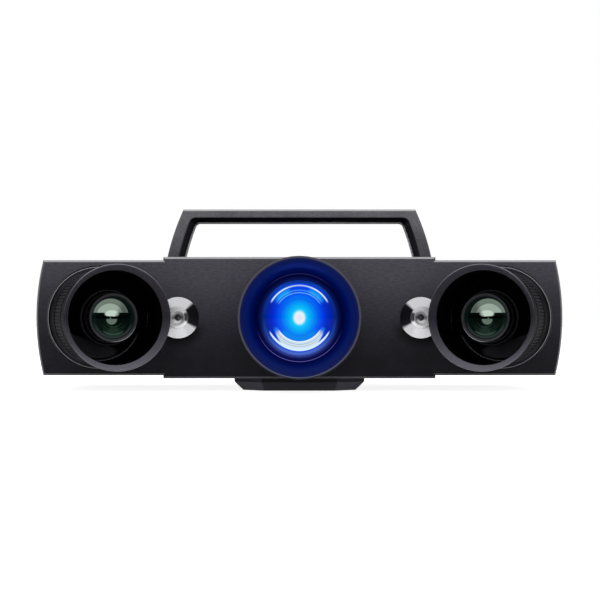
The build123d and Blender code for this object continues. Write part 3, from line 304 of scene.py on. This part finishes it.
def paint_handle():
    s = painted("handle_powder_coat", srgb(91, 90, 96), srgb(103, 102, 107), 0.62, 1500.0, relief=0.4, gloss=0.06,
                spread=0.2)
    front = s.facing(FRONT)
    rise = s.facing(UP)
    half_up, _ = chamfers(s)
    sideways, rearward, height = s.xyz(s.place)
    # Painted shade: the faces inside the strap are darker than its front, and darkest where they face down.
    inner = s.times(s.step(s.size(front), 0.35, 0.25), s.step(rise, 0.5, 0.3),
                    s.step(s.size(sideways), 90.0 * MM, 88.0 * MM))
    # Painted highlight: the front of the rear lip is nearly white.
    rear_lip_highlight = s.times(s.step(rearward, 15.0 * MM, 18.0 * MM), s.step(front, 0.5, 0.6))
    # Painted shade: darker towards the bottom of the legs.
    colour = s.shaded(s.tint, s.step(height, 96.0 * MM, 122.0 * MM, 0.77, 1.0))
    colour = s.mix(inner, colour, s.mix(s.step(rise, -0.4, -0.8), srgb(58, 57, 66), srgb(34, 34, 44)))
    colour = s.mix(rear_lip_highlight, colour, s.mix(s.step(rise, -0.2, -0.5), srgb(250, 250, 252), srgb(225, 225, 229)))
    # Painted highlight on the top chamfers.
    s.set(Base_Color=s.mix(half_up, colour, srgb(168, 168, 172)),
          Specular_IOR_Level=s.step(inner, 0.0, 1.0, 0.06, 0.0))
    dress(s, "handle")


def paint_foot():
    s = painted("foot_paint", srgb(34, 33, 40), srgb(40, 39, 46), 0.42, 1300.0, relief=0.1, gloss=0.1)
    # Painted light and shade: the front faces are dark, the faces turned down are lighter, and the slanted corners
    # lighter still.
    slope = s.step(s.facing(DOWN), 0.3, 0.6)
    corner = s.step(s.size(s.facing(RIGHT)), 0.2, 0.4)
    colour = s.mix(slope, srgb(10, 10, 14), srgb(41, 39, 49))
    colour = s.mix(corner, colour, s.mix(slope, srgb(46, 44, 53), srgb(70, 67, 80)))
    s.set(Base_Color=speckled(s, colour, 0.1))
    dress(s, "tripod_plate")


# ------------------------------------------------------------------ cameras and laser pointers
def turned_metal(name, axis, dark, light, rough, gloss):
    """Turned metal: fine rings left by the tool, round the part's own axis."""
    s = Shader(name)
    s.at = Around(s, *axis)
    rings = s.rings(2.2, 4.0, s.at.radius, s.at.along)
    tone = s.math("ADD", s.times(rings, 0.7), s.times(s.noise(90.0), 0.3))
    s.tint = s.mix(s.step(tone, 0.3, 0.7), dark, light)
    s.set(Base_Color=s.tint, Roughness=s.step(rings, 0.3, 0.7, rough - 0.05, rough + 0.06),
          Specular_IOR_Level=gloss)
    s.bump(rings, 0.04, 0.0003)
    return s


def finish_hood(name, side):
    s = turned_metal(f"hood_anodised_{name}", camera_axis(side), srgb(6, 5, 8), srgb(11, 10, 14), 0.6, 0.02)
    at = s.at
    knurl = s.times(s.step(at.radius, KNURL_ROOT, KNURL_ROOT + 0.25),
                    s.band(at.along, KNURL_MIDDLE, KNURL_HALF, 0.1))
    bevel = s.times(s.band(at.radius, HOOD_BEVEL, 1.6, 0.15), s.step(at.along, HOOD_MOUTH - 7.9, HOOD_MOUTH - 7.3))
    rim = s.times(s.band(at.radius, HOOD_RIM, 0.16, 0.1), s.step(at.along, HOOD_MOUTH - 0.3, HOOD_MOUTH))
    bore = s.step(at.radius, HOOD_BORE + 0.15, HOOD_BORE)
    # Painted light: each tone follows the turn round the axis, from 0 at the bottom to 1 at the top. The knurl is
    # lighter at the top, and the bevel and the rim carry painted highlights that are darkest at the sides.
    turn = s.math("MULTIPLY_ADD", at.rise, 0.5, 0.5)
    colour = s.mix(knurl, s.tint, s.ramp(turn, (0.2, 33, 32, 38), (0.50, 27, 26, 32), (0.80, 42, 41, 47),
                                         (1.0, 48, 47, 53)))
    colour = s.mix(bevel, colour, s.ramp(turn, (0.0, 114, 113, 122), (0.07, 106, 104, 113), (0.25, 84, 82, 91),
                                         (0.50, 50, 48, 55), (0.75, 58, 56, 63), (1.0, 68, 66, 74)))
    colour = s.mix(rim, colour, s.ramp(turn, (0.0, 140, 138, 146), (0.07, 140, 138, 146), (0.25, 92, 90, 98),
                                       (0.50, 40, 38, 46), (0.75, 90, 88, 96), (0.93, 134, 132, 140)))
    s.set(Base_Color=s.mix(bore, colour, srgb(2, 2, 2)))
    dress(s, f"camera_hood_{name}")


def finish_turret(name, side):
    s = turned_metal(f"turret_anodised_{name}", camera_axis(side), srgb(5, 5, 8), srgb(10, 9, 13), 0.6, 0.02)
    at = s.at
    face = Around(s, *straight_axis(side * CAMERA_X))
    # Painted highlight: a bright line round the edge of the face.
    face_edge_highlight = s.times(s.step(face.radius, TURRET_OPENING, TURRET_OPENING + 0.15),
                        s.step(s.xyz(s.place)[1], -39.0 * MM, -39.3 * MM))
    # Painted sheen: the outside is lighter above and below the axis.
    outside = s.times(s.step(s.size(at.rise), 0.3, 0.9), s.step(at.radius, 31.4, 32.0))
    # Painted light: the cup's floor has a painted lit patch low down, inside a painted thin bright line at its edge.
    floor = s.step(at.along, 1.0, 0.5)
    inward = s.times(at.sideways, -side)
    slant = s.math("ADD", at.upward, s.times(inward, 0.34))
    lit = s.times(floor, s.step(at.radius, 28.9, 28.1), s.step(slant, -16.8, -18.8), s.step(inward, 15.0, 9.0))
    line = s.times(floor, s.band(at.radius, TURRET_FLOOR, 0.35, 0.2), s.step(at.rise, -0.3, -0.6))
    colour = s.tint
    for mask, tone in ((outside, srgb(44, 43, 49)), (lit, srgb(80, 79, 87)), (line, srgb(126, 125, 133)),
                       (face_edge_highlight, srgb(146, 145, 150))):
        colour = s.mix(mask, colour, tone)
    s.set(Base_Color=colour)
    dress(s, f"camera_turret_{name}")


def finish_lens_body(name, side):
    s = turned_metal(f"lens_black_{name}", camera_axis(side), srgb(6, 6, 8), srgb(12, 12, 14), 0.42, 0.12)
    # Painted highlight: a light line on the edge of the barrel's step.
    step_edge_highlight = s.times(s.band(s.at.radius, BARREL_STEP, 0.3, 0.2), s.step(s.at.along, 34.0, 34.2))
    s.set(Base_Color=s.mix(step_edge_highlight, s.tint, srgb(56, 56, 60)))
    dress(s, f"lens_barrel_{name}", f"iris_ring_{name}", f"focus_ring_{name}")


def finish_front_ring(name, side):
    s = turned_metal(f"lens_front_ring_{name}", camera_axis(side), srgb(42, 43, 46), srgb(52, 53, 56), 0.4, 0.06)
    at = s.at
    # Painted light: the face is lighter low down, and a painted glint sits on the outer edge, low on the side
    # towards the middle.
    low = s.step(at.upward, -4.0, -13.0)
    face = s.mix(low, s.tint, srgb(62, 62, 66))
    face = s.mix(s.band(at.radius, LENS_RING_FACE, 0.75, 0.15), srgb(14, 14, 17), face)
    glint = s.times(s.band(at.radius, LENS_RING_EDGE, 0.13, 0.15), low, s.step(at.inward(side), -0.2, 0.3))
    s.set(Base_Color=s.mix(glint, face, srgb(185, 187, 190)))
    dress(s, f"lens_front_ring_{name}")


def finish_glass(name, side):
    """Coated glass with a partly painted reflection: it mirrors the lamps, but each inner element's share of the
    reflection is painted inside its own edge, above a painted flat lower edge.
    """
    s = Shader(f"coated_glass_{name}")
    at = Around(s, *camera_axis(side))
    lean = side * 13.7
    outer = s.circle(at, 0.118 * lean, 0.9, 11.7, 0.10)
    middle = s.circle(at, 0.176 * lean, 0.4, 8.9, 0.10)
    # The painted bright spot of reflection is half as high as it is wide.
    spot = s.step(s.length(s.math("SUBTRACT", at.sideways, 0.088 * lean),
                           s.math("SUBTRACT", s.times(at.upward, 2.0), 5.3)), 3.6, 5.4, 1.0, 0.0)
    # Painted reflection: the circles mirror the lamps only above a flat lower edge.
    upper = s.step(at.upward, 3.25, 3.45)
    tint = s.mix(s.times(outer, upper), srgb(4, 7, 5), srgb(115, 128, 117))
    tint = s.mix(s.times(middle, upper), tint, srgb(160, 178, 164))
    tint = s.mix(s.times(spot, s.step(at.upward, 0.6, 0.8)), tint, srgb(204, 222, 208))
    # The painted reflection fades towards the middle of the scanner.
    tint = s.shaded(tint, s.step(at.inward(side), 0.27, 0.80, 1.0, 0.5))
    tint = s.mix(s.step(s.rings(1.3, 3.0, at.radius), 0.35, 0.65, 0.0, 0.04), tint, srgb(20, 60, 44))
    # Painted reflections glow in the glass: a faint green edge, and faint arcs and edges of the inner elements in
    # the lower half.
    down = s.times(at.rise, -1.0)
    glow = s.mix(s.step(at.radius, 10.8, 12.6), srgb(1, 2, 2), srgb(4, 16, 14))
    glow = s.mix(s.times(s.step(down, 0.88, 0.98), s.step(at.radius, 5.0, 6.5)), glow, srgb(24, 36, 30))
    for radius, share in ((6.2, 0.5), (8.2, 0.45), (9.6, 0.4)):
        arc = s.times(s.band(at.radius, radius, 0.12, 0.35), s.step(down, 0.3, 0.9), share)
        glow = s.mix(arc, glow, srgb(38, 60, 50))
    # Painted reflections: a crescent low at the edge, a band low down, a light patch just below the middle and a
    # small glint.
    for mask, tone in (
            (s.times(s.step(at.radius, 11.9, 12.7), s.step(down, 0.2, 0.65)), srgb(38, 47, 46)),
            (s.times(s.band(at.radius, 11.1, 0.3, 0.5), s.step(down, 0.72, 0.94)), srgb(50, 67, 60)),
            (s.times(s.circle(at, 0.10 * lean, -1.0, 3.5, 0.25), s.step(at.upward, -0.7, -1.0)), srgb(94, 108, 98)),
            (s.circle(at, 0.16 * lean, -0.3, 0.45, 0.2), srgb(96, 110, 98))):
        glow = s.mix(mask, glow, tone)
    s.set(Base_Color=tint, Metallic=1.0, Roughness=0.04, Emission_Color=glow, Emission_Strength=1.0)
    dress(s, f"lens_glass_{name}")


def finish_bezel(name, side):
    """Polished bezel of a laser pointer, with painted reflections, highlights and shade on its steel."""
    s = Shader(f"polished_bezel_{name}")
    at = Around(s, *straight_axis(side * LASER_X))
    rise, inward = at.rise, at.inward(side)
    rings = s.rings(2.6, 4.0, at.radius)
    # A painted reflection of the dark side of the studio: a dark wedge towards the middle, narrower on the inner
    # step.
    wide = s.step(s.math("MULTIPLY_ADD", rise, 0.14, inward), 0.735, 0.865)
    narrow = s.step(s.math("MULTIPLY_ADD", rise, 0.08, inward), 0.80, 0.96)
    outer_cone = s.step(at.radius, BEZEL_STEP, BEZEL_STEP + 0.7)
    inner_cone = s.math("SUBTRACT", 1.0, outer_cone)
    wedge = s.times(s.step(at.radius, 4.8, 5.2),
                    s.math("ADD", s.times(wide, outer_cone), s.times(narrow, inner_cone)))
    # Painted light on the steel: lighter above than below, painted shade low on the inner side, and painted
    # highlights in a ring round the step and a bright band low down.
    low_inside_shade = s.times(s.step(inward, 0.3, 0.7), s.step(rise, -0.2, -0.5))
    low_band_highlight = s.times(s.band(at.radius, 6.2, 1.1, 0.3), s.step(rise, -0.1, -0.4))
    steel = s.mix(s.step(rise, -0.2, 0.6), srgb(186, 186, 189), srgb(218, 218, 222))
    for mask, tone in ((low_inside_shade, srgb(166, 166, 169)), (s.band(at.radius, 5.8, 0.5, 0.3), srgb(214, 214, 217)),
                       (low_band_highlight, srgb(248, 248, 250)), (s.times(rings, 0.25), srgb(176, 176, 180)),
                       (wedge, s.mix(outer_cone, srgb(52, 51, 56), srgb(20, 20, 24)))):
        steel = s.mix(mask, steel, tone)
    # The dish is matt, with painted light and shade that follow the turn round the axis: light below, dark above,
    # with a lighter band near its upper rim.
    dish = s.step(at.radius, BEZEL_DISH + 0.25, BEZEL_DISH + 0.05)
    dish_shading = s.ramp(s.math("MULTIPLY_ADD", rise, 0.5, 0.5), (0.0, 238, 238, 241), (0.15, 214, 214, 218),
                       (0.33, 136, 136, 141), (0.50, 92, 92, 97), (0.85, 70, 70, 75), (1.0, 60, 60, 65))
    upper_ring = s.times(s.step(at.radius, 2.2, 3.3), s.step(rise, 0.1, 0.6))
    steel = s.mix(dish, steel, s.mix(upper_ring, dish_shading, srgb(158, 158, 162)))
    # Painted highlight: a light line round the dish's edge.
    steel = s.mix(s.band(at.radius, BEZEL_DISH, 0.12, 0.12), steel, srgb(168, 168, 172))
    matt = s.math("MAXIMUM", dish, s.step(at.radius, 7.9, 7.4, 0.0, 0.7))
    s.set(Base_Color=steel, Roughness=s.step(rings, 0.3, 0.7, 0.24, 0.34), Metallic=s.math("SUBTRACT", 1.0, matt))
    s.bump(rings, 0.015, 0.0002)
    dress(s, f"laser_bezel_{name}")


def finish_windows():
    s = Shader("laser_window_glass")
    s.set(Base_Color=s.mix(s.noise(500.0), srgb(44, 44, 48), srgb(70, 70, 75)), Roughness=0.05)
    dress(s, "laser_window_left", "laser_window_right")


# ------------------------------------------------------------------ projector
def finish_cup():
    """The hood of the projector: black outside, and inside a painted glow of the lens's light over dark navy."""
    s = Shader("projector_hood_anodised")
    at = Around(s, *straight_axis())
    rings = s.rings(2.0, 4.0, at.radius, at.along)
    inside = s.times(s.step(at.radius, CUP_WALL + 0.05, CUP_WALL - 0.05), s.step(at.along, 17.0, 17.6))
    share = s.math("DIVIDE", s.math("SUBTRACT", at.radius, CUP_FLOOR), 9.0)
    navy = s.mix(share, srgb(0, 0, 8), srgb(1, 2, 14))
    # Painted light: the inside glows with the lens's light, from dark deep inside to brighter out towards the rim.
    lit = s.ramp(share, (0.05, 0, 7, 60), (0.19, 0, 9, 67), (0.33, 0, 13, 77), (0.48, 4, 20, 85),
                 (0.61, 8, 22, 86), (0.76, 10, 21, 80), (0.90, 15, 22, 73), (1.0, 24, 30, 74))
    # Painted reflection of the overhead lamp: a lighter band at the top.
    overhead = s.times(s.band(at.radius, 35.4, 0.7, 1.3), s.step(at.rise, 0.8, 1.0), 0.7)
    lit = s.mix(overhead, lit, srgb(16, 32, 108))
    outside = s.mix(rings, srgb(30, 29, 34), srgb(44, 43, 49))
    # Painted highlights on the lip: lighter low down, with its inner edge brightest there.
    low_lip = s.mix(s.step(at.radius, CUP_WALL, CUP_WALL + 0.6), srgb(116, 117, 142), srgb(56, 57, 68))
    lip = s.mix(s.step(at.upward, -10.0, -34.0), srgb(76, 76, 86), low_lip)
    outside = s.mix(s.step(at.along, 38.9, 39.3), outside, lip)
    s.set(Base_Color=s.mix(inside, outside, navy), Roughness=s.step(rings, 0.3, 0.7, 0.34, 0.46),
          Specular_IOR_Level=0.015, Emission_Color=s.mix(inside, BLACK, lit), Emission_Strength=1.0)
    s.bump(rings, 0.04, 0.0003)
    dress(s, "projector_hood")


def finish_lit_ring():
    """Black rings round the lit lens, with its light painted on them as a glow; their outermost edge has a painted
    thin purple highlight line.
    """
    s = Shader("projector_ring_lit")
    at = Around(s, *straight_axis())
    fall = s.times(at.rise, -1.0)
    place = s.math("DIVIDE", s.math("SUBTRACT", at.radius, LIT_RING), 7.0)
    # Painted light: the glow fades outwards and is brighter on the lower half; the painted line is strongest at the
    # bottom.
    high = s.ramp(place, (0.0, 14, 34, 112), (0.30, 12, 24, 84), (0.55, 4, 10, 62), (0.74, 0, 4, 46),
                  (1.0, 0, 6, 56))
    low = s.ramp(place, (0.0, 70, 96, 190), (0.30, 54, 68, 150), (0.55, 18, 24, 88), (0.74, 6, 10, 66),
                 (1.0, 0, 7, 62))
    strength = s.math("ADD", s.step(fall, 0.2, 0.9), s.step(fall, -0.6, -1.0, 0.0, 0.22))
    line = s.times(s.band(at.radius, 30.15, 0.14, 0.16), strength)
    glow = s.mix(line, s.mix(s.step(fall, 0.1, 1.0), high, low), srgb(92, 82, 166))
    s.set(Base_Color=s.mix(s.rings(3.0, 3.0, at.radius), srgb(0, 0, 3), srgb(1, 1, 5)), Emission_Color=glow,
          Emission_Strength=1.0, Roughness=0.5, Specular_IOR_Level=0.0)
    dress(s, "projector_retainer", "projector_lens_barrel")


def finish_lit_lens():
    s = Shader("projector_lens_lit")
    at = Around(s, *straight_axis())
    rise = at.rise
    aside = s.size(s.math("DIVIDE", at.sideways, at.radius))
    oval = s.length(at.sideways, s.times(at.upward, 0.86))
    glow = s.ramp(s.math("DIVIDE", oval, LIT_LENS), (0.0, 226, 228, 236), (0.12, 234, 240, 244),
                  (0.15, 150, 228, 250), (0.19, 20, 196, 250), (0.27, 0, 176, 244), (0.40, 0, 128, 242),
                  (0.53, 0, 92, 240), (0.66, 0, 70, 234), (0.84, 4, 58, 208), (0.92, 10, 40, 150), (1.0, 12, 26, 92))
    # Painted shade: the darker sides between the upper and lower arcs.
    sides = s.times(s.step(aside, 0.72, 0.96), s.step(at.radius, 11.0, 18.0, 0.0, 0.9))
    side_tone = s.ramp(s.math("DIVIDE", at.radius, LIT_LENS), (0.46, 0, 84, 236), (0.62, 0, 52, 222),
                       (0.74, 0, 34, 182), (0.85, 0, 28, 154), (0.93, 2, 34, 132))
    # Painted light round the rim: brighter at the bottom and the top than at the sides.
    rim_tone = s.ramp(s.math("MULTIPLY_ADD", rise, 0.5, 0.5), (0.0, 70, 104, 197), (0.07, 66, 100, 190),
                      (0.25, 22, 66, 158), (0.50, 8, 33, 108), (0.75, 6, 43, 133), (0.93, 10, 65, 175),
                      (1.0, 4, 48, 146))
    below = s.times(s.band(at.radius, 14.3, 1.2, 0.8), s.step(rise, -0.55, -0.8, 0.0, 0.8))
    upper_patch = s.times(s.band(at.radius, 19.4, 0.8, 1.8), s.band(aside, 0.56, 0.10, 0.22),
                          s.step(rise, 0.4, 0.6))
    lower_patch = s.times(s.band(at.radius, 17.9, 0.5, 1.6), s.band(rise, -0.56, 0.08, 0.16))
    top = s.step(rise, 0.50, 0.66)
    bottom = s.step(rise, -0.46, -0.68)
    wide_top = s.times(s.step(rise, 0.44, 0.58), s.step(rise, 0.88, 1.0, 1.0, 0.6))
    wide_bottom = s.step(rise, -0.38, -0.52)
    inner_band = s.times(s.circle(at, 0.0, -5.7, 16.9, 0.25), s.step(at.radius, 16.0, 16.6))
    # A crescent thins to nothing at its ends: it is inside one circle and outside a shifted one.
    shifted = s.length(at.sideways, s.math("SUBTRACT", at.upward, 2.6))
    crescent = s.times(s.step(at.radius, 22.73, 23.17, 1.0, 0.0), s.step(shifted, 23.18, 23.62))
    # The pale arcs and bands at the top and bottom, and the crescent, are painted reflections of the lamps above and
    # below.
    for mask, share, tone in (
            (sides, 1.0, side_tone),
            (s.band(at.radius, 12.9, 0.12, 0.35), 0.35, srgb(0, 60, 200)),
            (below, 1.0, srgb(2, 136, 232)),
            (upper_patch, 1.0, srgb(16, 150, 244)),
            (lower_patch, 0.7, srgb(40, 140, 240)),
            (s.step(at.radius, 23.3, 24.3), 1.0, rim_tone),
            (s.times(s.band(at.radius, 17.2, 0.10, 0.30), top), 0.9, srgb(110, 186, 250)),
            (s.times(s.band(at.radius, 18.9, 0.10, 0.30), top), 0.8, srgb(86, 166, 248)),
            (s.times(s.band(at.radius, 22.15, 0.30, 0.40), wide_top), 1.0, srgb(206, 234, 255)),
            (s.times(inner_band, bottom), 1.0, srgb(206, 224, 234)),
            (s.times(s.band(at.radius, 16.6, 0.25, 0.3), bottom), 1.0, srgb(222, 246, 255)),
            (s.times(s.band(at.radius, 18.3, 0.08, 0.25), bottom), 0.8, srgb(140, 158, 180)),
            (s.times(s.band(at.radius, 19.8, 0.08, 0.25), bottom), 0.6, srgb(150, 168, 188)),
            (s.times(crescent, wide_bottom), 1.0, srgb(214, 238, 252))):
        glow = s.mix(s.times(mask, share), glow, tone)
    s.set(Base_Color=s.mix(s.noise(300.0), srgb(0, 6, 40), srgb(0, 10, 56)), Emission_Color=glow,
          Emission_Strength=1.0, Roughness=0.05, Specular_IOR_Level=0.03)
    dress(s, "projector_front_lens")


# ------------------------------------------------------------------ other CAD nodes by their slot
def plain(name, dark, light, rough, scale, relief, metallic=0.0, stretch=EVEN):
    """A moulded, coated or machined surface with fine grain over soft mottling."""
    s = Shader(name)
    fine = s.noise(scale, 3.0, stretch)
    tone = s.math("ADD", s.times(fine, 0.6), s.times(s.noise(scale * 0.12), 0.4))
    s.set(Base_Color=s.mix(s.step(tone, 0.35, 0.65), srgb(*dark), srgb(*light)), Metallic=metallic,
          Roughness=s.step(fine, 0.3, 0.7, rough - 0.06, rough + 0.06))
    s.bump(fine, relief, 0.0003)
    return s


def finish_the_rest():
    by_slot = {
        "screw_steel": plain("black_oxide_steel", (34, 34, 37), (56, 56, 60), 0.38, 1200.0, 0.05, 0.7),
        "bare_aluminium": plain("machined_aluminium", (176, 178, 182), (204, 206, 210), 0.34, 900.0, 0.06, 1.0,
                                (0.2, 1.0, 1.0)),
        "brass": plain("turned_brass", (184, 158, 98), (212, 186, 122), 0.3, 900.0, 0.05, 1.0),
        "black_plastic": plain("moulded_plastic", (26, 26, 28), (40, 40, 43), 0.5, 1400.0, 0.12),
        "button_plastic": plain("button_plastic", (62, 62, 66), (80, 80, 84), 0.42, 1400.0, 0.08),
        "guard_steel": plain("guard_coating", (30, 30, 33), (46, 46, 50), 0.4, 1200.0, 0.08),
        "board_green": plain("solder_mask", (18, 74, 42), (28, 96, 56), 0.35, 500.0, 0.04),
        "led_ceramic": plain("led_ceramic", (214, 214, 206), (230, 230, 224), 0.5, 600.0, 0.04),
        "polished_steel": plain("polished_insert", (186, 186, 188), (214, 214, 216), 0.24, 900.0, 0.03, 1.0),
        "clear_glass": plain("clear_glass", (150, 170, 190), (176, 194, 210), 0.06, 300.0, 0.0),
        "lens_black": plain("focus_ring_black", (16, 16, 18), (28, 28, 31), 0.42, 1200.0, 0.06),
    }
    for name, node in NODES.items():
        given = node.material_slots[0].material.name.split(".")[0]
        if given in by_slot:
            dress(by_slot[given], name)


paint_panel()
paint_housing()
paint_handle()
paint_foot()
for side_name, side in SIDES.items():
    for finish in (finish_hood, finish_turret, finish_lens_body, finish_front_ring, finish_glass, finish_bezel):
        finish(side_name, side)
finish_windows()
finish_cup()
finish_lit_ring()
finish_lit_lens()
finish_the_rest()

# ------------------------------------------------------------------ floor, light and camera
FLOOR_HALF = 6.0
FLOOR_GLOW = 0.86
floor_mesh = bpy.data.meshes.new("floor")
floor_mesh.from_pydata([(-FLOOR_HALF, -FLOOR_HALF, 0.0), (FLOOR_HALF, -FLOOR_HALF, 0.0),
                        (FLOOR_HALF, FLOOR_HALF, 0.0), (-FLOOR_HALF, FLOOR_HALF, 0.0)], [], [(0, 1, 2, 3)])
floor = bpy.data.objects.new("floor", floor_mesh)
bpy.context.scene.collection.objects.link(floor)
# The paper glows for camera, glossy and transmission rays only, so it looks white and adds no light to the part.
paper = Shader("floor_paper")
ray = paper.node("ShaderNodeLightPath")
seen = paper.math("MAXIMUM", ray.outputs["Is Camera Ray"],
                  paper.math("MAXIMUM", ray.outputs["Is Glossy Ray"], ray.outputs["Is Transmission Ray"]))
paper.set(Base_Color=paper.mix(paper.noise(40.0), srgb(236, 236, 236), srgb(242, 242, 242)), Roughness=0.9,
          Specular_IOR_Level=0.1, Emission_Color=paper.grey(seen), Emission_Strength=FLOOR_GLOW)
floor_mesh.materials.append(paper.material)

DIFFUSE_LIGHT = 0.42
STUDIO_GREY = (0.8, 0.8, 0.8, 1.0)
scene = bpy.context.scene
world = bpy.data.worlds.new("studio")
scene.world = world
sky = Tree(world)
# The dark side of the studio is in front of the object, low down, where the photographer stands.
front = sky.step(sky.xyz(sky.coords.outputs["Generated"])[1], -0.62, -0.42, 0.03, 1.0)
sky_ray = sky.node("ShaderNodeLightPath")
mirrored = sky.math("MAXIMUM", sky_ray.outputs["Is Glossy Ray"], sky_ray.outputs["Is Transmission Ray"])
lit_world = sky.node("ShaderNodeMixShader", mirrored, sky.node("ShaderNodeBackground", WHITE, DIFFUSE_LIGHT),
                     sky.node("ShaderNodeBackground", STUDIO_GREY, front))
sky.node("ShaderNodeOutputWorld",
         sky.node("ShaderNodeMixShader", sky_ray.outputs["Is Camera Ray"], lit_world,
                  sky.node("ShaderNodeBackground", WHITE, 1.0)))


def softbox(name, place, width, height, watts):
    """A soft lamp aimed at the lens axis."""
    light = bpy.data.lights.new(name, "AREA")
    light.shape = "RECTANGLE"
    light.size = width
    light.size_y = height
    light.energy = watts
    lamp = bpy.data.objects.new(name, light)
    scene.collection.objects.link(lamp)
    lamp.location = place
    lamp.rotation_euler = (Vector((0.0, 0.0, AXIS_Z)) - Vector(place)).to_track_quat("-Z", "Y").to_euler()
    lamp.visible_camera = False


softbox("key", (0.0, -1.002, 0.646), 3.6, 1.24, 12.0)
softbox("overhead", (0.0, 0.05, 0.75), 1.0, 0.5, 2.5)
softbox("side_left", (-0.85, -0.15, 0.20), 0.4, 0.6, 0.5)
softbox("side_right", (0.85, -0.15, 0.20), 0.4, 0.6, 0.5)

EYE_DISTANCE = 0.830
view = bpy.data.cameras.new("view")
view.lens = 67.5
view.sensor_width = 36.0
view.shift_x = 0.001
view.shift_y = 0.0295
view.clip_start = 0.01
eye = bpy.data.objects.new("view", view)
scene.collection.objects.link(eye)
eye.location = (0.0, -EYE_DISTANCE, AXIS_Z)
eye.rotation_euler = (math.radians(90.0), 0.0, 0.0)
scene.camera = eye
scene.view_settings.view_transform = "Standard"
